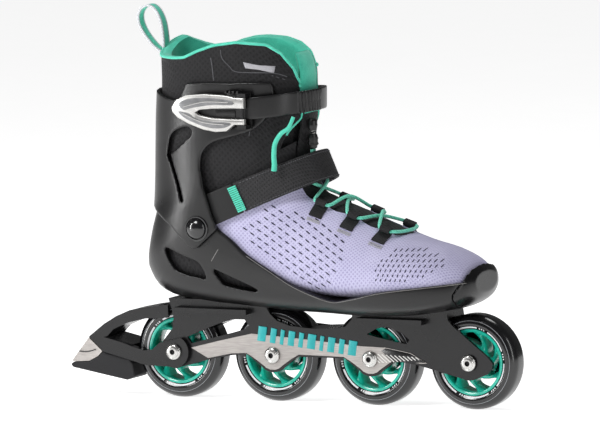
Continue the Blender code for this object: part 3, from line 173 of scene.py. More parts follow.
LOOK = {
    # Moulded nylon of the boot shell and cuff: satin black with a fine leather grain.
    "shell": finish("shell_nylon", "#080809", "#121112", 0.31, grain=0.7, bump=0.12, patch=30, shine=0.42),
    # Glass-filled nylon of the frame and brake arm: a little glossier.
    "frame": finish("frame_nylon", "#070709", "#111011", 0.27, grain=0.9, bump=0.06, patch=40, shine=0.42),
    # Strap ladder: smooth satin black.
    "strap": finish("strap_nylon", "#0c0c0d", "#171617", 0.34, shine=0.42, grain=0.6, bump=0.05, patch=20),
    # Polished cap over the pivot.
    "cap": finish("cap_gloss", "#0a0a0c", "#151517", 0.16, grain=2.0, bump=0.02, coat=0.4, patch=20),
    # Brake rubber: dull and slightly dusty.
    "rubber": finish("brake_rubber", "#0e0e10", "#1a1a1d", 0.62, shine=0.35, grain=0.8, bump=0.15),
    # Cast urethane tyre: glossy black.
    "tyre": finish("tyre_urethane", "#08080a", "#131315", 0.2, grain=3.0, bump=0.02, coat=0.3),
    # White and grey pad-printed rings on the tyre.
    "print": finish("tyre_print", "#d4d4d6", "#ededf0", 0.5, grain=0.6, bump=0.02),
    "print_grey": finish("tyre_print_grey", "#77797c", "#94969a", 0.5, grain=0.6, bump=0.02),
    # Teal moulded hub: glossy, light catches its rims.
    "hub": finish("hub_teal", "#0a9c86", "#1bbda4", 0.26, grain=1.6, bump=0.03, coat=0.3, patch=12),
    # Bearings, axles, screws.
    "steel": finish("steel", "#a9a8a6", "#d5d4d1", 0.26, grain=0.8, bump=0.04, metallic=1.0),
    # Dark steel for the bearing shields and the buckle pin; in the axle heads' sockets the same dark is
    # painted shade.
    "dark_steel_and_socket_shade": finish("socket_shadow", "#1a1a1b", "#2b2b2c", 0.4, metallic=0.6),
    # Brushed silver trim on the frame.
    "trim": finish("brushed_trim", "#8f8a87", "#bdb8b4", 0.36, grain=0.5, bump=0.08, metallic=0.55,
                   brushed=True, patch=60),
    "trim_edge": finish("trim_outline", "#2c2b2c", "#403e3f", 0.4, metallic=0.3),
    # Cast lever: bright rims and a duller brushed face.
    "silver": finish("lever_silver", "#a3a2a0", "#c8c7c4", 0.33, grain=0.8, bump=0.03, metallic=0.85),
    "silver_dull": finish("lever_brushed", "#5e5f61", "#8a8a8b", 0.42, grain=0.35, bump=0.2, metallic=0.8,
                          brushed=True, patch=9),
    # Engineered knit: fine dotted lavender yarn.
    "knit": finish("lavender_knit", "#8d89ae", "#bbb8d4", 0.88, grain=0.5, bump=0.7, sheen=0.1,
                   weave=1.0, patch=26),
    # Dark lenses for the knit's slits: painted shade where the openings are.
    "knit_slit_shade": finish("knit_slit_shade", "#1c1a2c", "#302d44", 0.95, grain=0.5),
    # Woven collar cover with a slight sparkle.
    "mesh": finish("collar_fabric", "#050506", "#1b1a1c", 0.74, shine=0.3, grain=0.7, bump=1.0, sheen=0.05,
                   weave=1.3, patch=14),
    # Brushed lining, plush in teal.
    "plush": finish("teal_plush", "#22a389", "#4cc9ad", 0.95, grain=0.8, bump=0.5, sheen=0.3, patch=9),
    "piping": finish("teal_piping", "#2db598", "#5ed4ba", 0.75, grain=0.4, bump=0.5, sheen=0.2, patch=8),
    # Lace: round braid.
    "lace": finish("mint_lace", "#3db597", "#73dabf", 0.7, grain=0.5, bump=0.8, sheen=0.2, weave=0.9),
    "webbing": finish("black_webbing", "#0a0a0b", "#1c1c1e", 0.7, shine=0.3, grain=0.4, bump=0.8, weave=0.9),
    # Coarse strap fabric with a grainy face.
    "strap_cloth": finish("strap_fabric", "#08080a", "#242325", 0.58, shine=0.35, grain=0.9, bump=1.0,
                          weave=1.0, patch=8),
    "strap_patch": finish("strap_patch", "#0a0a0b", "#151516", 0.5, shine=0.35, grain=0.5, bump=0.3,
                          patch=12),
    "stitch": finish("grey_stitch", "#8c8b91", "#bab9bd", 0.8, grain=0.4, bump=0.5),
    "dark_stitch": finish("dark_stitch", "#3a3a3d", "#58585c", 0.7, grain=0.4, bump=0.4),
    "label": finish("plain_label", "#87868b", "#b5b4b9", 0.6, grain=0.5, bump=0.3),
    "loop_edge": finish("loop_edge", "#a8abb0", "#d2d4d8", 0.75, grain=0.4, bump=0.6, weave=0.8),
    "foam": finish("insole_foam", "#1d1d20", "#303034", 0.9, grain=1.0, bump=0.5),
    "graphic": finish("teal_graphic", "#0a9294", "#1aa9ab", 0.4, grain=1.2, bump=0.03),
    "pale_graphic": finish("pale_graphic", "#cfcdca", "#e6e4e2", 0.45, grain=1.2, bump=0.03),
    # Pale grey for lines on the shell's top edge and groove: a painted highlight where those edges catch the
    # light.
    "edge_highlight": finish("painted_edge_highlight", "#5c5a59", "#7b7977", 0.35, grain=0.8, bump=0.05),
}


# --- shapes: lists of points, faces and the finish number of each face ------------------------------
def place(point):
    return Vector(point) * MM + SHIFT


def grid(rows, around=True, closed=False, capped=True, pick=None):
    """Faces over rows of points. around joins each row's ends; closed joins the last row to the first."""
    width = len(rows[0])
    points = [p for row in rows for p in row]
    faces, slots = [], []
    for r in range(len(rows) if closed else len(rows) - 1):
        for c in range(width if around else width - 1):
            here, after = r * width, (r + 1) % len(rows) * width
            faces.append((here + c, here + (c + 1) % width, after + (c + 1) % width, after + c))
            slots.append(pick(r, c) if pick else 0)
    if around and not closed and capped:
        faces += [tuple(range(width)), tuple(range(len(points) - width, len(points)))]
        slots += [slots[0], slots[-1]]
    return points, faces, slots


def piece(name, shapes, finishes, body=None, creased=40.0):
    """One mesh from several shapes, smooth but for edges sharper than creased degrees."""
    points, faces, slots = [], [], []
    for more_points, more_faces, more_slots in shapes:
        base = len(points)
        points += more_points
        faces += [tuple(base + i for i in face) for face in more_faces]
        slots += more_slots
    mesh = bpy.data.meshes.new(name)
    mesh.from_pydata([place(p) for p in points], [], faces)
    for key in finishes:
        mesh.materials.append(LOOK[key])
    mesh.polygons.foreach_set("material_index", slots)
    build = bmesh.new()
    build.from_mesh(mesh)
    bmesh.ops.recalc_face_normals(build, faces=build.faces)
    build.to_mesh(mesh)
    build.free()
    mesh.shade_smooth()
    mesh.set_sharp_from_angle(angle=math.radians(creased))
    made = bpy.data.objects.new(name, mesh)
    bpy.context.scene.collection.objects.link(made)
    if body:
        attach(made, body)
    return made


def lathe(profile, centre, steps=64, axis="Y", closed=True, pick=None, start=0.0):
    """A profile of (radius, height) turned about Y (height towards -Y) or Z."""
    rows = []
    for k in range(steps):
        turn = 2 * math.pi * k / steps + start
        row = []
        for r, h in profile:
            if axis == "Y":
                row.append(Vector(centre) + Vector((r * math.cos(turn), -h, r * math.sin(turn))))
            else:
                row.append(Vector(centre) + Vector((r * math.cos(turn), r * math.sin(turn), h)))
        rows.append(row)
    return grid(rows, around=closed, closed=True, pick=pick)


def tube(points, radius, sides=10, closed=False, flat=1.0):
    """A round cord along a run of points; radius may be a function of the share along it."""
    rows = []
    normal = None
    count = len(points)
    for i, here in enumerate(points):
        ahead = points[(i + 1) % count] if closed or i < count - 1 else here
        behind = points[i - 1] if closed or i else here
        run = (ahead - behind).normalized()
        if normal is None:
            normal = run.orthogonal().normalized()
        normal = (normal - run * normal.dot(run)).normalized()
        across = run.cross(normal)
        size = radius(i / (count - 1)) if callable(radius) else radius
        rows.append([here + (normal * math.cos(a) + across * math.sin(a) * flat) * size
                     for a in (2 * math.pi * k / sides for k in range(sides))])
    return grid(rows, closed=closed)


def flow(points, step=2.0, closed=False):
    """Points on a smooth curve through the given ones."""
    points = [Vector(p) for p in points]
    ends = [points[-1]] + points + points[:2] if closed else [points[0]] + points + [points[-1]]
    out = []
    for a, b, c, d in zip(ends, ends[1:], ends[2:], ends[3:]):
        count = max(1, round((c - b).length / step))
        for k in range(count):
            t = k / count
            out.append(0.5 * (2 * b + (c - a) * t + (2 * a - 5 * b + 4 * c - d) * t * t
                              + (3 * b - a - 3 * c + d) * t ** 3))
    if not closed:
        out.append(points[-1])
    return out


def slab(outline, y_from, y_to, rounded=0.6):
    """An outline in the XZ plane made thick along Y, its outer edges eased by rounded mm."""
    side = 1 if y_to > y_from else -1
    rows = []
    for inset, y in ((0, y_from), (0, y_to - side * rounded), (rounded * 0.35, y_to - side * rounded * 0.3),
                     (rounded, y_to)):
        row = []
        for i, p in enumerate(outline):
            p = Vector(p)
            before, after = Vector(outline[i - 1]), Vector(outline[(i + 1) % len(outline)])
            run = (after - before).normalized() * turn_sign(outline)
            p = p + Vector((-run.y, run.x)) * inset
            row.append(Vector((p.x, y, p.y)))
        rows.append(row)
    return grid(rows)


def turn_sign(outline):
    area = sum(a[0] * b[1] - b[0] * a[1] for a, b in zip(outline, list(outline[1:]) + [outline[0]]))
    return 1 if area > 0 else -1


# --- making pieces by carving and moulding ----------------------------------------------------------
def bake(made):
    """Keep what the modifiers make as the mesh itself."""
    graph = bpy.context.evaluated_depsgraph_get()
    mesh = bpy.data.meshes.new_from_object(made.evaluated_get(graph))
    made.modifiers.clear()
    old = made.data
    made.data = mesh
    bpy.data.meshes.remove(old)
    return made


def prism(outline, low, high, axis="Y"):
    """A cutter: an outline in XZ run along Y, or in XY run along Z."""
    rows = []
    for level in (low, high):
        rows.append([Vector((a, level, b)) if axis == "Y" else Vector((a, b, level)) for a, b in outline])
    points, faces, _ = grid(rows)
    mesh = bpy.data.meshes.new("cutter")
    mesh.from_pydata([place(p) for p in points], [], faces)
    build = bmesh.new()
    build.from_mesh(mesh)
    bmesh.ops.recalc_face_normals(build, faces=build.faces)
    build.to_mesh(mesh)
    build.free()
    made = bpy.data.objects.new("cutter", mesh)
    bpy.context.scene.collection.objects.link(made)
    return made


def carve(made, keep=(), cut=()):
    cutters = [(c, "INTERSECT") for c in keep] + [(c, "DIFFERENCE") for c in cut]
    for cutter, operation in cutters:
        change = made.modifiers.new("carve", "BOOLEAN")
        change.operation, change.object, change.solver = operation, cutter, "EXACT"
    bake(made)
    for cutter, _ in cutters:
        bpy.data.objects.remove(cutter, do_unlink=True)
    return made


def mould(made, voxel, rounds):
    """Rebuild a carved piece as one skin with the softly rounded edges of a moulding."""
    skin = made.modifiers.new("skin", "REMESH")
    skin.mode, skin.voxel_size, skin.adaptivity, skin.use_smooth_shade = "VOXEL", voxel * MM, 0.0, True
    ease = made.modifiers.new("ease", "SMOOTH")
    ease.factor, ease.iterations = 0.5, rounds
    finishes = list(made.data.materials)
    bake(made)
    if not made.data.materials:
        for one in finishes:
            made.data.materials.append(one)
    made.data.shade_smooth()
    return made


# --- the boot's form --------------------------------------------------------------------------------
def section_at(position):
    """The table's row at a position between two sections, on a smooth curve."""
    position = max(0.0, min(position, len(TABLE) - 1.0001))
    index = int(position)
    t = position - index
    rows = [TABLE[max(0, min(len(TABLE) - 1, index + k))] for k in (-1, 0, 1, 2)]
    return [0.5 * (2 * q + (r - o) * t + (2 * o - 5 * q + 4 * r - s) * t ** 2
                   + (3 * q - o - 3 * r + s) * t ** 3) for o, q, r, s in zip(*rows)]


def form_point(position, angle, side=0.0, base=None, front=None):
    """A point of the boot's form at an angle in radians: 0 medial, a quarter turn up at the front."""
    bx, bz, tx, tz, half, widest, low_full, top_full, ahead = section_at(position)
    along = (Vector((tx, tz)) - Vector((bx, bz))).normalized()
    bottom = Vector((bx, bz)) - along * (side if base is None else base)
    top = Vector((tx, tz)) + along * (side if front is None else front)
    middle = bottom.lerp(top, widest)
    c, s = math.cos(angle), math.sin(angle)
    full = top_full if s > 0 else low_full
    reach = (top - middle).length if s > 0 else (middle - bottom).length
    y = (half + side) * math.copysign(abs(c) ** (2 / full), c)
    flat = middle + along * reach * math.copysign(abs(s) ** (2 / full), s) + Vector((side * ahead, 0.0))
    return Vector((flat.x, y, flat.y))


def positions(first, last, per=4):
    return [first + (last - first) * k / ((last - first) * per) for k in range((last - first) * per + 1)]


def ring_at(position, side, base=None, front=None):
    return [form_point(position, 2 * math.pi * k / RING, side, base, front) for k in range(RING)]


def layer(first, last, outside, inside, open_toe=False):
    """The closed skin between two offsets of the form."""
    steps = positions(first, last)
    out = [outside(p) for p in steps]
    back = [inside(p) for p in reversed(steps)]
    return grid(out + back, closed=open_toe)


def between(values, position, first=0):
    """A value from a list that counts sections, at a position between them."""
    spot = max(0.0, min(position - first, len(values) - 1.0001))
    index = int(spot)
    return values[index] + (values[index + 1] - values[index]) * (spot - index)


def surface_tree(rows):
    points, faces, _ = grid(rows, capped=False)
    return BVHTree.FromPolygons(points, faces)


BOOT_FACE = surface_tree([ring_at(p, 0.0) for p in positions(0, 20)])


def touch(x, z, side, tree=None):
    """Where a line across the boot meets it on one side (-1 lateral), and the way out there."""
    hit, normal, _, _ = (tree or BOOT_FACE).ray_cast(Vector((x, side * 200.0, z)), Vector((0, -side, 0)))
    if hit is None:
        return None, None
    return hit, normal if normal.y * side > 0 else -normal


def patch(outline, side, lift, thick=0.3, step=3.0, tree=None):
    """A thin shape laid on the boot: its outline and middle follow the surface."""
    middle = sum((Vector(p) for p in outline), Vector((0, 0))) / len(outline)
    rings = []
    reach = max((Vector(p) - middle).length for p in outline)
    count = max(1, round(reach / step))
    for k in range(count + 1):
        share = 1.0 - k / (count + 0.5)
        ring = []
        for p in outline:
            spot = middle.lerp(Vector(p), share)
            hit, out = touch(spot.x, spot.y, side, tree)
            if hit is None:
                return None
            ring.append(hit + out * (lift + (thick if share < 1 or count == 1 and k else 0.0)))
        rings.append(ring)
    under = [p + Vector((0, -side, 0)) * 0.6 for p in rings[0]]
    points, faces, slots = grid([under] + rings, capped=False)
    faces.append(tuple(range(len(points) - len(outline), len(points))))
    return points, faces, slots + [0]


def seam(line, side, lift=0.2, radius=0.35, tree=None, step=1.5, dash=0):
    """A thread or groove line on the boot's side; dash keeps every other group of points."""
    run = []
    for p in flow([Vector((x, 0, z)) for x, z in line], step):
        hit, out = touch(p.x, p.z, side, tree)
        if hit is not None:
            run.append(hit + out * lift)
    if not dash:
        return [tube(run, radius, 6)] if len(run) > 1 else []
    return [tube(run[i:i + dash + 1], radius, 6) for i in range(0, len(run) - dash, 2 * dash)]


# --- wheels -----------------------------------------------------------------------------------------
def tyre_shape(centre):
    crown = [(31.4 + 8.6 * math.cos(math.radians(a)), 4 + 8 * math.sin(math.radians(a)))
             for a in (0, 12, 24, 36, 46, 55, 61, 65.5, 68.5, 74, 82, 90)]
    flank = [(30.5, 11.5), (30.0, 11.2), (28.7, 10.55), (28.1, 10.1)]
    half = crown + flank
    profile = half[::-1] + [(r, -h) for r, h in half]
    last = len(half) - 1
    steps = 180

    def pick(step, segment):
        spot = segment if segment < last else 2 * last - segment
        share = (step * 2) % 60
        if spot == 1:
            return 1 if share < 40 or share in (46, 50, 54) else 0
        if spot == 7:
            return 2
        return 0

    return lathe(profile, centre, steps, pick=pick, start=0.35)


def hub_shapes(centre):
    rim = [(28.0, 10.0), (27.7, 10.7), (26.4, 10.9), (25.4, 10.4), (24.9, 8.6), (24.7, 0), (24.9, -8.6),
           (25.4, -10.4), (26.4, -10.9), (27.7, -10.7), (28.0, -10.0)]
    core = [(14.4, 9.6), (13.6, 10.8), (12.2, 11.2), (11.3, 10.9), (11.3, -10.9), (12.2, -11.2),
            (13.6, -10.8), (14.4, -9.6)]
    shapes = [lathe(rim, centre, 96), lathe(core, centre, 64)]
    spokes, corners = 7, 14
    for k in range(spokes):
        rows = []
        for i in range(11):
            t = i / 10
            radius = 13.6 + 11.6 * t
            turn = 2 * math.pi * k / spokes + 0.5 * (t * t * (3 - 2 * t))
            wide = 9.2 - 4.6 * math.sin(math.pi * t) ** 0.8 + 1.6 * t
            deep = 9.6 - 2.6 * math.sin(math.pi * t)
            out = Vector((math.cos(turn), 0, math.sin(turn)))
            across = Vector((-math.sin(turn), 0, math.cos(turn)))
            row = []
            for j in range(corners):
                a = 2 * math.pi * j / corners
                u = math.copysign(abs(math.cos(a)) ** 0.6, math.cos(a))
                v = math.copysign(abs(math.sin(a)) ** 0.6, math.sin(a))
                row.append(Vector(centre) + out * radius + across * u * wide / 2 + Vector((0, v * deep, 0)))
            rows.append(row)
        shapes.append(grid(rows))
    return shapes


def axle_head(x, seat):
    """Domed button head whose six-sided socket is painted dark as the shade in its recess."""
    centre = (x, 0, WHEEL_R)
    dome = [(6.9, seat), (7.0, seat + 0.9), (6.4, seat + 2.0), (5.0, seat + 2.8), (3.4, seat + 3.15),
            (2.3, seat + 3.1)]
    socket = [(2.3, seat + 3.1), (2.1, seat + 1.4), (0.05, seat + 1.3)]
    ring = [(4.9, seat + 2.75), (5.2, seat + 2.9), (5.5, seat + 2.6)]
    # The socket takes the dark finish: painted shade in the recess.
    sunk = lathe(socket, centre, 6, closed=False, pick=lambda r, c: 1)
    return [lathe(dome, centre, 48, closed=False), sunk, lathe(ring, centre, 48, closed=False)]


def build_wheels():
    for number, x in enumerate(AXLES, 1):
        body = f"wheel_{number}"
        centre = (x, 0, WHEEL_R)
        tyre = piece(f"tyre_skin_{number}", [tyre_shape(centre)], ["tyre", "print", "print_grey"], body)
        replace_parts(tyre, f"tyre_{number}")
        hub = piece(f"hub_skin_{number}", hub_shapes(centre), ["hub"], body, 35)
        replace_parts(hub, f"hub_{number}")
        seals = [lathe([(4.6, s * 11.95), (10.6, s * 12.05)], centre, 40, closed=False) for s in (1, -1)]
        piece(f"bearing_shields_{number}", seals, ["dark_steel_and_socket_shade"], body)
        piece(f"axle_head_{number}", axle_head(x, 20.2 if number == 1 else 17.1), ["steel", "dark_steel_and_socket_shade"],
              "skate_body", 50)


# --- frame and brake --------------------------------------------------------------------------------
def soften(node, width, material, angle=30.0):
    """Round the edges of a CAD node and give it its finish."""
    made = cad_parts[node]
    edge = made.modifiers.new("edge", "BEVEL")
    edge.width, edge.segments, edge.limit_method = width * MM, 3, "ANGLE"
    edge.angle_limit, edge.harden_normals = math.radians(angle), False
    coat(node, material)
    made.data.shade_smooth()
    made.data.set_sharp_from_angle(angle=math.radians(38))


def coat(node, material):
    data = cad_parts[node].data
    data.materials.clear()
    data.materials.append(LOOK[material])


def graphic_shapes(side):
    """Plain slanted bars along the frame's side, and a fan of short pale lines ahead of them."""
    bars, lines = [], []
    y = side * 17.05
    widths = (7.6, 5.2, 3.4, 5.8, 4.2, 7.4, 3.4, 6.4, 4.8, 7.4)
    x = -59.5
    for width in widths:
        middle = 58.0 - 0.106 * (x + 59.4)
        tall = 6.2
        outline = [(x, middle - tall), (x + width, middle - tall - 0.7),
                   (x + width + 1.8, middle + tall - 0.9), (x + 1.8, middle + tall)]
        bars.append(slab(outline, side * 15.9, y, 0.2))
        x += width + 4.0
    for k in range(13):
        x, foot = 51.0 + 3.3 * k, 36.6 + 0.36 * k
        reach, rise = 10.5 - 0.62 * k, 8.4 - 0.52 * k
        outline = [(x - reach, foot + rise), (x - reach + 0.9, foot + rise + 0.3), (x + 0.9, foot + 0.3),
                   (x, foot)]
        lines.append(slab(outline, side * 16.6, side * 17.2, 0.05))
    return bars, lines


def build_frame():
    soften("frame", 0.9, "frame")
    for side in ("lateral", "medial"):
        soften(f"frame_panel_{side}", 0.25, "trim")
        sign = -1 if side == "lateral" else 1
        bars, lines = graphic_shapes(sign)
        piece(f"frame_bars_{side}", bars, ["graphic"], "skate_body")
        nose = [(62.0, 41.6), (66.0, 38.4), (97.0, 38.8), (82.6, 46.2), (60.2, 49.8), (56.0, 47.5)]
        piece(f"frame_nose_{side}", [slab(nose, sign * 15.9, sign * 16.95, 0.25)], ["frame"], "skate_body")
        piece(f"frame_lines_{side}", lines, ["pale_graphic"], "skate_body")
    soften("brake_arm", 1.1, "frame")
    soften("brake_pad", 0.8, "rubber")
    soften("brake_tip_cap", 0.8, "trim")
    line = [Vector((-228.5, -15.9, 36.6)), Vector((-221.0, -15.9, 36.4)), Vector((-213.0, -15.9, 38.6))]
    piece("brake_cap_line", [tube(flow(line), 0.5, 6)], ["trim_edge"], "skate_body")
    for name in ("heel", "toe"):
        coat(f"frame_bolt_{name}", "steel")
    coat("brake_pad_screw", "steel")
    for number in range(1, 5):
        coat(f"axle_{number}", "steel")
        coat(f"spacer_{number}", "steel")
        for side in ("lateral", "medial"):
            coat(f"bearing_{number}_{side}", "steel")


# --- moulded boot -----------------------------------------------------------------------------------
SHELL_TOP = [
    (-79.7, 146.0), (-69.2, 138.6), (-55.2, 126.8), (-34.1, 114.8), (-9.5, 101.6), (22.2, 91.6),
    (43.5, 94.1), (72.0, 100.8), (107.3, 105.8), (142.5, 109.6),
]
HEEL_VENTS = [
    [(-134.5, 129.4), (-117.4, 124.4), (-101.1, 118.0), (-95.6, 105.6), (-103.0, 105.6), (-125.0, 111.6)],
    [(-88.0, 113.4), (-81.1, 111.6), (-63.6, 104.8), (-46.0, 97.0), (-54.0, 95.9), (-76.2, 99.6),
     (-80.9, 102.4)],
]
TOE_SEAM = [(131.0, 80.0), (133.5, 98.9), (139.5, 108.8), (143.0, 122.0)]
SOLE_DEPTH = [4.6, 7.6, 10.5, 12.4, 13.6, 14.6, 14.8, 14.2, 13.6, 12.6, 11.2, 10.6, 12.4, 8.0, 3.6]
PIVOT = (-99.0, 148.0)


def flat_flow(points, step=2.0, closed=True):
    return [(p.x, p.y) for p in flow([Vector((x, z, 0)) for x, z in points], step, closed)]


def arc(centre, radius, start, end, count):
    angles = [math.radians(start + (end - start) * i / count) for i in range(count + 1)]
    return [(centre[0] + radius * math.cos(a), centre[1] + radius * math.sin(a)) for a in angles]


def build_shell():
    outside = lambda p: ring_at(p, SHELL_OUT, base=between(SOLE_DEPTH, p))
    inside = lambda p: ring_at(p, 0.4)
    shell = piece("shell_skin", [layer(0, 14, outside, inside)], ["shell"])
    top = flat_flow(SHELL_TOP[::-1], 4.0, closed=False)
    hold = [(-185.0, 60.0), (180.0, 60.0), (180.0, 112.0)] + top + arc(PIVOT, 15.1, 10, 150, 16)
    hold += [(-128.0, 160.5), (-146.0, 161.5), (-185.0, 161.5)]
    cuts = [prism([(x - 0.3, z) for x, z in TOE_SEAM] + [(200, 122), (200, 60), (130.7, 60)], -80, 80)]
    cuts += [prism(flat_flow(vent, 3.0), -80, 80) for vent in HEEL_VENTS]
    cuts.append(prism([(-170, 40), (122, 40), (122, 84.8), (-170, 84.8)], -16.4, 16.4))
    cuts.append(prism([(35, 40), (98, 40), (98, 75.2), (35, 75.2)], -24.8, 24.8))
    cuts.append(prism([(-136, 40), (-64, 40), (-64, 78.2), (-136, 78.2)], -24.8, 24.8))
    carve(shell, [prism(hold, -80, 80)], cuts)
    mould(shell, 0.9, 5)
    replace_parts(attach(shell, "skate_body"), "boot_shell")

    cap = piece("toe_cap_skin", [layer(0, 3, outside, inside)], ["frame"])
    ahead = [(x + 0.3, z) for x, z in TOE_SEAM] + [(200, 122), (200, 60), (131.3, 60)]
    carve(cap, [prism(ahead, -80, 80)])
    mould(cap, 0.9, 4)
    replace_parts(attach(cap, "skate_body"), "toe_cap")

    face = surface_tree([ring_at(p, SHELL_OUT, base=between(SOLE_DEPTH, p)) for p in positions(0, 14)])
    # Pale tubes along the top edge and a groove of the shell: painted highlight lines.
    lines = []
    for side in (-1, 1):
        lines += seam([(-88.4, 120.5), (-81.6, 130.5)], side, 0.0, 0.35, face)
        lines += seam([(x, z - 1.0) for x, z in SHELL_TOP[2:]], side, 0.0, 0.3, face, 2.0)
    piece("shell_edge_highlights", lines, ["edge_highlight"], "skate_body")


def build_pivots():
    for side, sign in (("lateral", 1), ("medial", -1)):
        seat = 46.6
        dome = [(8.6, seat - 1.5), (8.6, seat + 0.6), (8.0, seat + 1.7), (6.4, seat + 3.0),
                (4.2, seat + 3.9), (2.0, seat + 4.3), (0.02, seat + 4.4)]
        washer = [(10.6, seat - 2.0), (10.6, seat + 0.1), (10.2, seat + 0.5), (9.3, seat + 0.5),
                  (9.0, seat - 0.4)]
        shapes = []
        for profile in (dome, washer):
            turned = [(r, h * sign) for r, h in profile]
            shapes.append(lathe(turned, (PIVOT[0], 0, PIVOT[1]), 64, closed=False))
        made = piece(f"pivot_cap_{side}", shapes, ["cap"], "skate_body")
        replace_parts(made, f"cuff_rivet_{side}")


# --- cuff ---------------------------------------------------------------------------------------------
CUFF_OVER_SHELL = [1.0, 1.0, 1.0, 0.75, 0.35, 0.0, 0.0, 0.0, 0.0, 0.0]
CUFF_BEHIND = [8.0, 8.0, 6.5, 4.9, 3.8, 3.2, 2.4, 1.2, 1.2, 1.2]
CUFF_OUTLINE = [
    (-185.0, 262.0), (-150.5, 261.0), (-119.0, 255.0), (-110.5, 264.3), (-105.0, 269.4), (-70.0, 270.6),
    (-36.0, 271.6), (-30.6, 269.4), (-29.4, 264.0), (-30.0, 255.0), (-36.0, 241.0), (-48.1, 231.2),
    (-67.3, 225.2), (-84.1, 220.1), (-92.7, 212.4), (-95.3, 203.8), (-94.9, 195.2), (-92.3, 182.5),
]
CUFF_WINDOW = [
    (-128.2, 208.8), (-128.4, 217.0), (-125.5, 224.6), (-119.3, 229.4), (-109.0, 232.6), (-104.0, 230.6),
    (-103.8, 227.0), (-110.5, 220.6),
]
CUFF_SLOT = [
    (-130.4, 209.4), (-125.6, 208.6), (-122.8, 199.4), (-117.2, 185.4), (-112.6, 170.0), (-114.6, 169.0),
    (-119.6, 184.6), (-125.2, 198.4), (-128.4, 204.0),
]


def cuff_ring(position, wall):
    over = (SHELL_OUT + 0.4) * between(CUFF_OVER_SHELL, position, 11)
    return ring_at(position, 0.8 + over + wall, base=between(CUFF_BEHIND, position, 11) + wall)


def build_cuff():
    shape = layer(11, 20, lambda p: cuff_ring(p, 3.2), lambda p: cuff_ring(p, 0.0), open_toe=True)
    cuff = piece("cuff_skin", [shape], ["shell"])
    hold = flat_flow(CUFF_OUTLINE, 2.5, closed=False) + arc(PIVOT, 17.6, 35, -140, 24)
    hold += [(-126.0, 149.0), (-140.0, 157.0), (-152.0, 163.0), (-185.0, 163.0)]
    cuts = [prism(flat_flow(CUFF_WINDOW, 2.0), -80, 80), prism(flat_flow(CUFF_SLOT, 2.0), -80, 80),
            prism([(-40, 100), (60, 100), (60, 330), (-40, 330)], -25, 25)]
    carve(cuff, [prism(hold, -80, 80)], cuts)
    mould(cuff, 0.9, 5)
    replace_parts(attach(cuff, "ankle_cuff"), "cuff")


# --- soft boot ----------------------------------------------------------------------------------------
def throat_outline():
    """Plan of the throat: a scalloped edge between the lace loops and a rounded toe end."""
    edge = []
    for k in range(60):
        x = -60.0 + 132.0 * k / 59
        wave = 1.6 * math.cos((x - 34.0) / 31.6 * 2 * math.pi) if x > -6 else 0.0
        edge.append((x, 18.6 - wave))
    nose = [(75.5, 15.0), (78.0, 9.0), (79.0, 0.0)]
    return edge + nose + [(x, -y) for x, y in nose[-2::-1]] + [(x, -y) for x, y in reversed(edge)]


def build_upper():
    steps = positions(0, SPLIT)

    def pick(r, c):
        p = steps[r] if r < len(steps) else steps[max(0, 2 * len(steps) - 1 - r)]
        spot = form_point(p, 2 * math.pi * (c + 0.5) / RING)
        above = spot.z > 164.0 + (spot.x + 92.0) * 0.421
        behind = spot.x < -88.0 or (spot.z < 122.0 and spot.x < -30.0 and spot.z < 60.0 - spot.x)
        return 1 if above or behind or r >= len(steps) else 0

    out = [ring_at(p, 0.0) for p in steps]
    back = [ring_at(p, -4.6) for p in reversed(steps)]
    upper = piece("upper_knit", [grid(out + back, pick=pick)], ["knit", "mesh"])
    carve(upper, (), [prism(throat_outline(), 120, 260, "Z")])
    upper.data.shade_smooth()
    upper.data.set_sharp_from_angle(angle=math.radians(45))
    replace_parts(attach(upper, "skate_body"), "boot_upper")


def in_region(x, z, region):
    inside = False
    for (ax, az), (bx, bz) in zip(region, region[1:] + region[:1]):
        if (az > z) != (bz > z) and x < (bx - ax) * (z - az) / (bz - az) + ax:
            inside = not inside
    return inside


QUARTER = [(-60.0, 146.0), (-50.0, 158.0), (-36.0, 168.0), (-8.0, 164.0), (20.0, 155.0), (34.0, 142.0),
           (36.0, 126.0), (26.0, 106.0), (10.0, 100.0), (-8.0, 106.0), (-32.0, 121.0), (-50.0, 135.0)]
FOREFOOT = [(66.0, 112.0), (70.0, 128.0), (80.0, 135.0), (100.0, 135.0), (120.0, 128.0), (124.0, 121.0),
            (112.0, 115.0), (90.0, 109.0), (74.0, 107.0)]


def knit_slit(x, z, side, lean, length, width):
    """A dark lens laid a little proud of the knit: painted shade where a slit opens."""
    along = Vector((math.cos(lean), math.sin(lean)))
    across = Vector((-along.y, along.x))
    ring = []
    for k in range(10):
        a = 2 * math.pi * k / 10
        reach, breadth = math.cos(a) * length / 2, math.sin(a) * width / 2
        ring.append(tuple(Vector((x, z)) + along * reach + across * breadth))
    return patch(ring, side, 0.12, 0.05, 4.0)


def build_slits():
    slits = []
    lean = math.radians(-31)
    down, across = Vector((math.cos(lean), math.sin(lean))), Vector((-math.sin(lean), math.cos(lean)))
    for side in (-1, 1):
        for row in range(-9, 10):
            for k in range(-10, 11):
                spot = Vector((-12.0, 134.0)) + down * (k + 0.5 * (row % 2)) * 7.8 + across * row * 5.8
                if in_region(spot.x, spot.y, QUARTER):
                    slits.append(knit_slit(spot.x, spot.y, side, lean, 5.2, 1.15))
        for column in range(14):
            for k in range(8):
                x = 62.0 + column * 4.4 + k * 1.9
                z = 107.0 + k * 3.9
                if in_region(x, z, FOREFOOT):
                    slits.append(knit_slit(x, z, side, math.radians(64), 2.7, 1.0))
    # The slits are dark lenses on the knit, painted shade where it opens.
    piece("knit_slits", [s for s in slits if s], ["knit_slit_shade"], "skate_body")


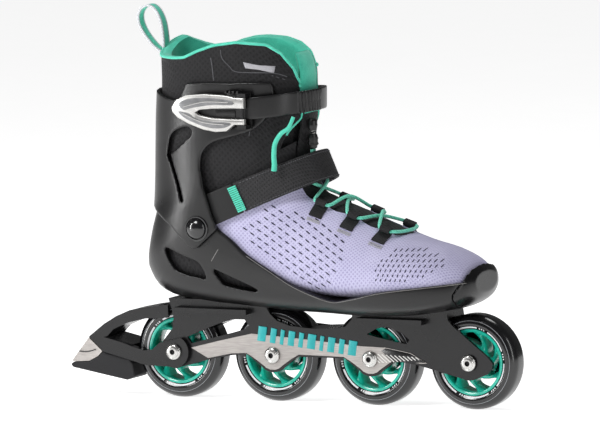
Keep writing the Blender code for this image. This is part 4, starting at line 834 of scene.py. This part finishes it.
RIM = [(-170.0, 288.6), (-124.0, 288.6), (-111.4, 289.5), (-97.0, 295.6), (-82.0, 300.6), (-61.0, 303.6),
       (-36.0, 301.6), (-25.0, 294.0), (-17.5, 281.5), (-14.0, 268.0)]
RIM_MEDIAL = [(-170.0, 297.0), (-147.0, 300.0), (-141.6, 301.6), (-136.6, 298.7), (-126.6, 294.5),
              (-115.8, 291.5), (-106.8, 292.7), (-96.0, 297.1), (-83.0, 300.3), (-70.8, 301.3), (-53.0, 300.4),
              (-38.7, 296.9), (-27.0, 290.4), (-21.0, 280.8)]
MOUTH = [(200.0, -25.5), (206.0, -28.5), (218.0, -27.5), (230.0, -21.5), (240.0, -13.5), (262.0, -10.0),
         (320.0, -8.0)]


def along_line(line, value):
    for (a, low), (b, high) in zip(line, line[1:]):
        if a <= value <= b:
            return low + (high - low) * (value - a) / (b - a)
    return line[0][1] if value < line[0][0] else line[-1][1]


def mouth_angle(position):
    """How far round to the front the collar reaches, on the medial side."""
    low, high = 0.0, math.pi / 2
    for _ in range(18):
        angle = (low + high) / 2
        spot = form_point(position, angle)
        if spot.x < along_line(MOUTH, spot.z) and spot.y > 15.5:
            low = angle
        else:
            high = angle
    return low


def rim_position(angle):
    """The section position where the collar ends at this angle."""
    low, high = float(SPLIT), 20.0
    for _ in range(18):
        middle = (low + high) / 2
        spot = form_point(middle, angle)
        far = max(0.0, min((spot.y + 24.0) / 46.0, 1.0))
        far = far * far * (3 - 2 * far)
        if spot.z < along_line(RIM, spot.x) * (1 - far) + along_line(RIM_MEDIAL, spot.x) * far:
            low = middle
        else:
            high = middle
    return low


COLUMNS = 132
COLLAR_ROWS = 26
COLLAR_ENDS = [mouth_angle(SPLIT + 7.0 * k / 40) for k in range(41)]


def collar_angle(position, share):
    end = between(COLLAR_ENDS, (position - SPLIT) / 7.0 * 40)
    return end + share * (-math.pi - 2 * end)


def collar_spot(share, up, side):
    """A point of the collar: share round from the medial front to the lateral one, up from 0 to 1."""
    position = SPLIT + 6.5 * up
    for _ in range(3):
        top = rim_position(collar_angle(position, share))
        position = SPLIT + 0.01 + (top - SPLIT) * up
    return form_point(position, collar_angle(position, share), side), position


def build_collar():
    """Padded wall with a fuller middle, a rolled teal rim, and rounded front edges."""
    rows = []
    lining_from = COLLAR_ROWS + 3
    roll = [(0.1, 0.6), (-0.6, 1.2), (-2.2, 1.6), (-4.2, 1.6), (-6.2, 1.0), (-7.8, 0.2)]
    edge_line = {"medial": [], "lateral": []}
    rim_line = []
    for c in range(COLUMNS + 1):
        share = c / COLUMNS
        near = min(share, 1 - share) * COLUMNS
        ease = math.sqrt(max(0.0, 1 - (1 - min(1.0, near / 3.0)) ** 2))
        row = []
        for k in range(COLLAR_ROWS + 1):
            up = k / COLLAR_ROWS
            puff = 0.7 * math.sin(math.pi * up) ** 0.5 - 0.25
            wave = 0.25 * math.sin(share * 61 + up * 9) * math.sin(up * 13 + share * 17)
            spot, _ = collar_spot(share, up, (puff + wave - 1.6 * (1 - ease)) if k else -0.2)
            row.append(spot)
            if c in (0, COLUMNS):
                edge_line["medial" if c == 0 else "lateral"].append(spot)
        top, position = collar_spot(share, 1.0, 0.0)
        rim_line.append(top + Vector((0, 0, 0.6)))
        angle = collar_angle(position, share)
        for side, lift in roll:
            shrink, raised = 0.35 + 0.65 * ease, lift * (0.5 + 0.5 * ease)
            row.append(form_point(position, angle, side * shrink) + Vector((0, 0, raised)))
        for k in range(COLLAR_ROWS, -1, -1):
            up = k / COLLAR_ROWS
            plump = 8.4 + 1.1 * math.sin(math.pi * up * 2) ** 2
            spot, _ = collar_spot(share, up, -(plump * ease + 3.0 * (1 - ease)))
            row.append(spot)
        rows.append(row)

    def pick(r, c):
        return 1 if COLLAR_ROWS <= c < len(rows[0]) - 1 else 0

    collar = piece("collar_padding", [grid(rows, pick=pick)], ["mesh", "plush"], None, 70)
    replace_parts(collar, "ankle_collar")
    bend(collar)

    edging = edge_line["medial"][4:] + rim_line[1:-1] + edge_line["lateral"][:3:-1]
    cords = [tube(flow(edging, 3.0), 1.25, 10)]
    knot = edge_line["lateral"][-1]
    cords.append(tube(flow([knot + Vector((-2.2, -1.4, -3.0)), knot + Vector((0.4, -1.8, -1.5)),
                            knot + Vector((2.0, -1.6, -2.8))], 0.6), 1.2, 8))
    piping = piece("collar_piping", cords, ["piping"], None)
    bend(piping)

    face = BVHTree.FromPolygons([p for row in rows for p in row[:COLLAR_ROWS + 1]],
                                grid([row[:COLLAR_ROWS + 1] for row in rows], around=False)[1])
    threads, labels = [], []
    for side in (-1, 1):
        threads += seam([(-84.5, 291.0), (-83.0, 283.0), (-81.8, 272.0)], side, 0.1, 0.5, face)
        threads += seam([(-75.3, 297.8), (-73.7, 290.7), (-67.4, 284.5), (-60.3, 279.8), (-31.7, 278.9),
                         (-21.0, 275.5)], side, 0.1, 0.4, face)
        threads += seam([(-31.7, 276.9), (-21.0, 272.6)], side, 0.2, 0.35, face, 1.0, 2)
        threads += seam([(-52.0, 226.0), (-50.0, 236.0)], side, 0.1, 0.4, face)
    tab = [(-54.9, 288.0), (-29.0, 284.5), (-30.2, 278.7), (-53.2, 283.0)]
    label = patch(tab, -1, 0.15, 0.35, 3.0, face)
    stitches = piece("collar_seams", threads, ["dark_stitch"], None)
    bend(stitches)
    if label:
        bend(piece("collar_label", [label], ["label"], None, 60))
    return face


def bend(made):
    """Fabric over the ankle, between the boot and the cuff: its placing is baked into the mesh, and it is not
    bent.
    """
    place((-83.0, 0, 182.0))
    place((-106.0, 0, 221.0))
    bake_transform(made)


def build_tongue():
    """A padded strip under the laces that rises to the rim; the part over the ankle strap is plush."""
    across = 26
    steps = [4.15 + (18.9 - 4.15) * k / 110 for k in range(111)]
    rows = []
    for i, p in enumerate(steps):
        tip = min(1.0, i / 3.0, (len(steps) - 1 - i) / 5.0)
        tip = math.sqrt(max(0.0, 1 - (1 - tip) ** 2))
        width = (18.2 - 3.4 * max(0.0, min((p - 11.0) / 3.0, 1.0))) * (0.86 + 0.14 * tip)
        bx, bz, tx, tz, form_half, widest, low_full, full, _ = section_at(p)
        row = []
        for layer_side in (1, -1):
            for j in range(across + 1):
                y = width * (-1 + 2 * j / across) * layer_side
                c = min(abs(y) / form_half, 1.0) ** (full / 2)
                angle = math.acos(c) if y > 0 else math.pi - math.acos(c)
                edge = math.sqrt(max(0.0, 1 - abs(y / width) ** 4))
                quilt = 0.5 * abs(math.sin(p * 3.3)) * edge
                depth = -1.0 - 0.6 * (1 - edge) + quilt if layer_side == 1 else -1.2 - 5.2 * edge * tip
                spot = form_point(p, angle, 0.0, front=min(depth, -0.65))
                lean = max(0.0, (spot.z - 279.0) / 26.0)
                narrow = 1 - 0.12 * lean ** 3
                row.append(Vector((spot.x - 11.0 * lean ** 2, y * narrow, spot.z - 2.5 * lean ** 2)))
        rows.append(row)

    def pick(r, c):
        outer = c <= across
        if rows[r][c].z > 243.0:
            return 1 if not outer or -17.0 < rows[r][c].y < 11.0 else 0
        return 0

    tongue = piece("tongue_padding", [grid(rows, pick=pick)], ["mesh", "plush"], None, 60)
    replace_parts(tongue, "tongue")
    place((-12, 0, 228))
    place((-12, 0, 262))
    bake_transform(tongue)


def build_gusset():
    """Thin dark fabric behind the tongue that closes the front between the collar's edges."""
    rows = []
    for i in range(41):
        p = 9.4 + 7.4 * i / 40
        row = []
        for depth, order in ((-9.9, 1), (-11.1, -1)):
            for k in range(-20, 21):
                angle = math.pi / 2 - math.radians(66) * k * order / 20
                row.append(form_point(p, angle, depth))
        rows.append(row)
    gusset = piece("tongue_gusset", [grid(rows)], ["mesh"], None, 60)
    place((-12, 0, 228))
    place((-12, 0, 262))
    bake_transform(gusset)


def build_insole():
    steps = [1.2 + (12.2 - 1.2) * k / 60 for k in range(61)]
    low, high = FOOTBED + 5.6, FOOTBED + 9.0
    rows = []
    for p in steps:
        x_mid = section_at(p)[0]
        half = 0.0
        for k in range(60):
            spot = form_point(p, -math.pi / 2 * k / 59, -5.7)
            if abs(spot.z - (low + high) / 2) < 3.0:
                half = max(half, spot.y)
        half = half or 8.0
        x = max(-131.0, min(136.0, x_mid))
        row = []
        for j in range(20):
            a = 2 * math.pi * j / 20
            u = math.copysign(abs(math.cos(a)) ** 0.35, math.cos(a))
            v = math.copysign(abs(math.sin(a)) ** 0.8, math.sin(a))
            row.append(Vector((x, u * (half - 0.6), (low + high) / 2 + v * (high - low) / 2)))
        rows.append(row)
    insole = piece("insole_pad", [grid(rows)], ["foam"], "skate_body")
    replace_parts(insole, "insole")


# --- straps -------------------------------------------------------------------------------------------
ANKLE_LOW = ((-46.0, 241.3), (-7.0, 245.5), 47.6, 2.0)
ANKLE_HIGH = ((-46.0, 259.4), (-6.4, 263.8), 47.6, 2.0)
INSTEP_LOW = ((-86.0, 150.0), (5.4, 189.4), 39.4, 2.6)
INSTEP_HIGH = ((-98.0, 174.0), (-4.6, 212.4), 40.0, 2.6)
STRAIGHT_RUN = 100.0


def wrap_point(edge, share, offset):
    """A point on a strap's edge line round the boot's front; past a share of 1 it runs straight back."""
    (rear_x, rear_z), (front_x, front_z), half, full = edge
    back = STRAIGHT_RUN * max(0.0, abs(share) - 1.0)
    angle = max(-1.0, min(1.0, share)) * math.pi / 2
    ahead = abs(math.cos(angle)) ** (2 / full)
    slope = (front_z - rear_z) / (front_x - rear_x)
    s = math.sin(angle)
    return Vector((rear_x + (front_x + offset - rear_x) * ahead - back,
                   (half + offset) * math.copysign(abs(s) ** (2 / full), s),
                   rear_z + (front_z - rear_z) * ahead - back * slope))


def band(lower, upper, thick, start, end, count, extra=lambda share, u: 0.0, lift=0.0, span=(0.0, 1.0)):
    """A strap with eased edges between two edge lines; extra thickens its outer face."""
    rows = []
    corners = 28
    for k in range(count + 1):
        share = start + (end - start) * k / count
        row = []
        for j in range(corners):
            a = 2 * math.pi * j / corners
            u = 0.5 + 0.5 * math.copysign(abs(math.cos(a)) ** 0.22, math.cos(a))
            v = 0.5 + 0.5 * math.copysign(abs(math.sin(a)) ** 0.4, math.sin(a))
            u = span[0] + (span[1] - span[0]) * u
            outward = lift + v * thick + (extra(share, u) if v > 0.5 else 0.0)
            row.append(wrap_point(lower, share, outward).lerp(wrap_point(upper, share, outward), u))
        rows.append(row)
    return grid(rows)


def stitches(lower, upper, start, end, u, offset, count):
    """Short threads along a strap, u from its lower to its upper edge."""
    out = []
    for k in range(count):
        a = start + (end - start) * (k + 0.15) / count
        b = start + (end - start) * (k + 0.75) / count
        ends = [wrap_point(lower, s, offset).lerp(wrap_point(upper, s, offset), u)
                for s in (a, (a + b) / 2, b)]
        out.append(tube(ends, 0.32, 6))
    return out


def build_straps():
    def ribs(share, u):
        if -0.345 < share < 0.03:
            return 1.0 if math.sin((share + 0.03 * u) * 2 * math.pi / 0.046) > 0.1 else -0.1
        return 0.25 if -0.365 < share <= -0.345 else 0.0

    ankle = piece("ankle_strap_skin", [band(ANKLE_LOW, ANKLE_HIGH, 2.2, -1.5, 1.2, 330, ribs)], ["strap"],
                  "ankle_cuff", 30)
    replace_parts(ankle, "ankle_strap")

    instep = piece("instep_strap_skin", [band(INSTEP_LOW, INSTEP_HIGH, 2.4, -0.85, 0.94, 160)],
                   ["strap_cloth"], "skate_body", 50)
    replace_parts(instep, "instep_strap")
    anchor = piece("instep_anchor_skin", [band(INSTEP_LOW, INSTEP_HIGH, 2.4, -1.01, -0.86, 30)],
                   ["strap_patch"], "skate_body", 50)
    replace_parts(anchor, "instep_strap_anchor")
    threads = []
    for u in (0.07, 0.93):
        threads += stitches(INSTEP_LOW, INSTEP_HIGH, -0.82, 0.6, u, 2.55, 66)
    piece("strap_stitches", threads, ["dark_stitch"], "skate_body")

    keeper = []
    for k in range(13):
        low_u, high_u = 0.07 + k * 0.066, 0.07 + k * 0.066 + 0.05
        keeper.append(band(INSTEP_LOW, INSTEP_HIGH, 1.5, -0.885, -0.84, 6, lift=2.2, span=(low_u, high_u)))
    piece("strap_keeper", keeper, ["piping"], "skate_body")

    route = [(-11.0, -36.5, 243.0), (-15.0, -38.0, 234.0), (-21.5, -39.4, 229.0), (-26.6, -40.2, 221.0),
             (-27.8, -40.6, 212.0), (-27.4, -40.8, 203.0), (-28.0, -40.8, 198.0)]
    cord = piece("ankle_cord", [tube(flow(route, 1.5), lambda t: 1.5 + 0.9 * t, 12)], ["piping"], None)
    bend(cord)


# --- buckle -------------------------------------------------------------------------------------------
LEVER_OUT = -55.4


def build_buckle():
    lever_outline = [
        (-115.3, 250.6), (-114.6, 246.4), (-110.0, 241.8), (-99.4, 236.6), (-86.0, 232.2), (-74.6, 230.4),
        (-64.0, 231.4), (-57.0, 236.9), (-47.6, 237.0), (-47.6, 241.9), (-60.0, 241.7), (-78.0, 242.2),
        (-90.0, 244.4), (-93.0, 246.6), (-89.0, 248.6), (-78.0, 249.8), (-60.0, 250.5), (-47.6, 250.7),
        (-47.6, 259.6), (-56.0, 259.8), (-64.0, 261.3), (-84.4, 262.2), (-102.0, 260.8), (-111.0, 256.6),
    ]
    shapes = [slab(lever_outline, -51.4, LEVER_OUT, 1.1)]
    top_arm = [(-108.0, 253.4), (-100.0, 257.6), (-84.0, 259.0), (-66.0, 258.2), (-58.0, 256.6),
               (-58.0, 253.6), (-78.0, 253.0), (-94.0, 250.6), (-104.0, 248.6)]
    low_arm = [(-109.0, 247.0), (-101.0, 240.8), (-86.0, 235.4), (-74.0, 233.6), (-64.0, 235.0),
               (-60.0, 238.4), (-78.0, 239.4), (-92.0, 241.6), (-99.0, 245.6)]
    lever = piece("lever_skin", shapes, ["silver"], "lever", 30)
    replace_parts(lever, "buckle_lever")
    inlays = [slab(flat_flow(arm, 2.0), LEVER_OUT + 0.4, LEVER_OUT - 0.35, 0.3)
              for arm in (top_arm, low_arm)]
    piece("lever_inlays", inlays, ["silver_dull"], "lever", 30)
    ridges = []
    for arm in (((-104.0, 251.0), (-84.0, 255.6), (-62.0, 255.6)),
                ((-104.0, 245.2), (-86.0, 238.6), (-66.0, 237.0))):
        run = flow([Vector((x, LEVER_OUT - 0.4, z)) for x, z in arm], 2.0)
        ridges.append(tube(run, 0.45, 6))
    piece("lever_ridges", ridges, ["silver"], "lever")
    coat("buckle_pin", "dark_steel_and_socket_shade")
    coat("ankle_strap_screw", "steel")
    soften("buckle_base", 0.5, "shell")
    head = [(-63.0, 252.0), (-55.0, 252.6), (-55.0, 262.2), (-60.0, 264.8), (-66.0, 263.6)]
    tail = [(-76.0, 243.0), (-58.0, 243.0), (-58.0, 249.0), (-76.0, 248.2)]
    pawl = [slab(head, -47.6, -51.0, 0.5), slab(tail, -47.6, -50.4, 0.5)]
    for k in range(4):
        x = -67.0 + 3.6 * k
        tooth = [(x, 262.6), (x + 2.4, 262.8), (x + 2.2, 265.2), (x + 0.4, 265.0)]
        pawl.append(slab(tooth, -47.6, -52.4, 0.4))
    piece("buckle_pawl", pawl, ["strap"], "ankle_cuff", 30)


# --- lacing -------------------------------------------------------------------------------------------
LACE_R = 1.4
LOOP_LIFT = 0.8 + 3.3
LACE_LIFT = LACE_R + 0.9
LACE_ROWS = (7.15, 5.9, 4.85)
LACE_SIDE = 22.0
LOCK_PLACE = Vector((-7.6, -8.0))
LOCK_BOTTOM = 213.6


def instep_point(position, y, lift):
    index = min(int(position), len(SECTIONS) - 2)
    points = []
    for number in (index, index + 1):
        bottom, top, half, widest, _, full, _ = SECTIONS[number]
        bottom, top = Vector(bottom), Vector(top)
        middle = bottom.lerp(top, widest)
        c = min(abs(y) / half, 1.0) ** (full / 2)
        points.append(middle + (top - middle) * math.sqrt(1.0 - c * c) ** (2 / full))
    flat = points[0].lerp(points[1], position - index)
    run = (points[1] - points[0]).normalized()
    lean = math.asin(min(abs(y) / SECTIONS[index][2], 1.0)) * 0.75
    out = Vector((-run.y, 0, run.x))
    if out.z < 0 or (abs(out.z) < 0.3 and out.x < 0):
        out = -out
    side = Vector((0, math.copysign(1.0, y) if y else 0.0, 0))
    return Vector((flat.x, y, flat.y)) + (out * math.cos(lean) + side * math.sin(lean)) * lift


def row_frame(row, side):
    """The lace's point in a loop, the throat's direction there, and the way out of the surface."""
    here = instep_point(row, side * LACE_SIDE, LOOP_LIFT)
    ahead = instep_point(row - 0.2, side * LACE_SIDE, LOOP_LIFT)
    behind = instep_point(row + 0.2, side * LACE_SIDE, LOOP_LIFT)
    along = (ahead - behind).normalized()
    out = (here - instep_point(row, side * LACE_SIDE, 0.0)).normalized()
    return here, along, (out - along * out.dot(along)).normalized()


def lace_route():
    """Two strands that cross over the tongue, pass the loops and meet at the toe end."""
    strands = []
    for first_side, lift, lock_y in ((1, LACE_LIFT, -2.2), (-1, LACE_LIFT + 2 * LACE_R + 0.7, 2.2)):
        side = first_side
        low_end = LOCK_PLACE.y + lock_y
        points = [
            Vector((LOCK_PLACE.x, low_end, LOCK_BOTTOM - 0.4)),
            Vector((LOCK_PLACE.x, low_end, LOCK_BOTTOM - 7.0)),
            instep_point(9.6, -side * 9.0, lift), instep_point(8.8, -side * 10.5, lift),
        ]
        for number, row in enumerate(LACE_ROWS):
            before = 8.4 if number == 0 else LACE_ROWS[number - 1]
            points.append(instep_point((before + row) / 2, 0.0, lift))
            here, along, out = row_frame(row, side)
            inward = out.cross(along) * -side * 2.6
            points += [here - along * 7.5 + inward, here - along * 3.6, here, here + along * 3.6]
            points.append(here + along * 7.5 + inward)
            side = -side
        strands.append(points)
    toe = [instep_point(4.5, 12.0, LACE_LIFT), instep_point(4.42, 0.0, LACE_LIFT)]
    toe.append(instep_point(4.5, -12.0, LACE_LIFT))
    if strands[0][-1].y < 0:
        toe.reverse()
    return strands[0] + toe + strands[1][::-1]


def build_lacing():
    cord = tube(flow(lace_route(), 1.6), 1.45, 12)
    laces = piece("lace_cord", [cord], ["lace"], "skate_body")
    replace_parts(laces, "laces")
    for number, row in enumerate(LACE_ROWS, 1):
        for side, sign in (("lateral", -1), ("medial", 1)):
            here, along, out = row_frame(row, sign)
            down = out.cross(along) * sign
            run = []
            for k in range(13):
                a = math.radians(-20 + 280 * k / 12)
                run.append(here + down * math.cos(a) * 2.6 + out * math.sin(a) * 2.6)
            for reach in (2.0, 5.0, 8.0, 11.0, 14.0):
                hit, normal = nearest(here + down * reach - out * 2.4)
                run.append(hit + normal * 0.9)
            rows = []
            for i, p in enumerate(run):
                ahead = run[min(i + 1, len(run) - 1)]
                behind = run[max(i - 1, 0)]
                way = (ahead - behind).normalized()
                face = way.cross(along).normalized()
                wide = 4.4 + 1.4 * min(1.0, i / 12)
                rows.append([p - along * wide - face * 0.55, p - along * wide + face * 0.55,
                             p + along * wide + face * 0.55, p + along * wide - face * 0.55])
            loop = piece(f"loop_{number}_{side}", [grid(rows)], ["webbing"], "skate_body",
                         40)
            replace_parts(loop, f"lace_loop_{number}_{side}")
            bars = []
            for level in (15.8, 18.0):
                zig = []
                for k in range(17):
                    spot = here + down * (level + 0.9 * (k % 2)) + along * (-6.4 + 12.8 * k / 16) - out * 4
                    hit, normal = nearest(spot)
                    zig.append(hit + normal * 0.35)
                bars.append(tube(zig, 0.5, 6))
            piece(f"bartack_{number}_{side}", bars, ["stitch"], "skate_body")
    for name, body in (("lace_lock_body", "skate_body"), ("lace_lock_button", "lock_button")):
        soften(name, 0.3, "strap", 50)
    coat("lace_lock_spring", "steel")
    x, y = LOCK_PLACE
    collars = [lathe([(4.25, 3.4), (4.75, 3.8), (4.75, 4.9), (4.25, 5.3)], (x, y, LOCK_BOTTOM), 32, "Z"),
               lathe([(4.2, 8.0), (4.6, 8.3), (4.6, 9.3), (4.0, 9.6)], (x, y, LOCK_BOTTOM), 32, "Z")]
    piece("lock_rings", collars, ["strap"], "skate_body")


def nearest(spot):
    hit, normal, _, _ = BOOT_FACE.find_nearest(spot)
    if normal.dot(spot - hit) < 0:
        normal = -normal
    return hit, normal


# --- pull loop ----------------------------------------------------------------------------------------
def build_pull_loop():
    line = [
        (-149.0, 290.6), (-156.4, 295.4), (-164.3, 304.0), (-169.7, 313.2), (-170.9, 320.9), (-168.2, 326.8),
        (-163.1, 329.6), (-157.9, 328.8), (-152.8, 323.5), (-149.3, 314.7), (-147.6, 303.0), (-147.4, 292.2),
    ]
    run = flow([Vector((x, 0, z)) for x, z in line], 1.2)
    rows = []
    breadth = (-5.6, -5.2, -3.5, 3.5, 5.2, 5.6)
    for i, p in enumerate(run):
        way = (run[min(i + 1, len(run) - 1)] - run[max(i - 1, 0)]).normalized()
        face = Vector((way.z, 0, -way.x))
        outer = [p + Vector((0, y, 0)) + face * (0.9 if abs(y) < 5.5 else 0.2) for y in breadth]
        inner = [p + Vector((0, y, 0)) - face * (0.9 if abs(y) < 5.5 else 0.2) for y in reversed(breadth)]
        rows.append(outer + inner)

    def pick(r, c):
        return 0 if c in (2, 8) else 1

    loop = piece("pull_loop_tape", [grid(rows, pick=pick)], ["piping", "loop_edge"], "ankle_cuff",
                 60)
    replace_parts(loop, "pull_loop")


# --- studio -------------------------------------------------------------------------------------------
def area_light(name, spot, aim, size, power):
    lamp = bpy.data.lights.new(name, "AREA")
    lamp.shape, lamp.size, lamp.size_y, lamp.energy = "RECTANGLE", size[0], size[1], power
    made = bpy.data.objects.new(name, lamp)
    made.location = spot
    made.rotation_euler = (Vector(aim) - Vector(spot)).to_track_quat("-Z", "Y").to_euler()
    bpy.context.scene.collection.objects.link(made)


def build_studio():
    mesh = bpy.data.meshes.new("floor")
    reach = 30.0
    mesh.from_pydata([(-reach, -reach, 0), (reach, -reach, 0), (reach, reach, 0), (-reach, reach, 0)], [],
                     [(0, 1, 2, 3)])
    floor = bpy.data.objects.new("floor", mesh)
    bpy.context.scene.collection.objects.link(floor)
    pale = finish("pale_floor", "#f4f4f4", "#ffffff", 0.6, grain=40, bump=0.0, patch=900)
    shader = next(n for n in pale.node_tree.nodes if n.type == "BSDF_PRINCIPLED")
    shader.inputs["Emission Color"].default_value = (1.0, 1.0, 1.0, 1.0)
    shader.inputs["Emission Strength"].default_value = 0.8
    mesh.materials.append(pale)

    bpy.context.scene.view_settings.view_transform = "Standard"
    world = bpy.data.worlds.new("studio")
    bpy.context.scene.world = world
    world.use_nodes = True
    sky = world.node_tree.nodes["Background"]
    sky.inputs["Color"].default_value = (1.0, 1.0, 1.0, 1.0)
    sky.inputs["Strength"].default_value = 0.1
    middle = (0.0, 0.0, 0.17)
    area_light("key", (-0.6, -1.3, 1.5), middle, (0.6, 0.6), 20)
    area_light("front", (1.6, -0.7, 0.6), middle, (0.2, 1.2), 5)
    area_light("rear_strip", (-1.1, -0.85, 0.4), middle, (0.1, 0.8), 8)
    area_light("top", (0.1, 0.4, 1.7), middle, (0.9, 0.5), 9)


def build_camera():
    """The long-lens view from the lateral front, level but for a slight tilt of the camera."""
    turn, rise, roll = math.radians(26.81), math.radians(6.444), math.radians(-1.277)
    target = Vector((0.005065, 0.00145, 0.160008))
    back = Vector((math.sin(turn) * math.cos(rise), -math.cos(turn) * math.cos(rise), math.sin(rise)))
    right = Vector((math.cos(turn), math.sin(turn), 0.0))
    up = back.cross(right)
    right, up = right * math.cos(roll) + up * math.sin(roll), up * math.cos(roll) - right * math.sin(roll)
    data = bpy.data.cameras.new("view")
    data.lens, data.sensor_width, data.sensor_fit = 622.3, 36.0, "HORIZONTAL"
    data.clip_end = 60.0
    data.dof.use_dof = False
    made = bpy.data.objects.new("view", data)
    bpy.context.scene.collection.objects.link(made)
    spot = target + back * 8.655
    made.matrix_world = Matrix((
        (right.x, up.x, back.x, spot.x), (right.y, up.y, back.y, spot.y), (right.z, up.z, back.z, spot.z),
        (0, 0, 0, 1),
    ))
    bpy.context.scene.camera = made


build_wheels()
build_frame()
build_shell()
build_pivots()
build_cuff()
build_upper()
build_slits()
build_collar()
build_tongue()
build_gusset()
build_insole()
build_straps()
build_buckle()
build_lacing()
build_pull_loop()
build_studio()
build_camera()
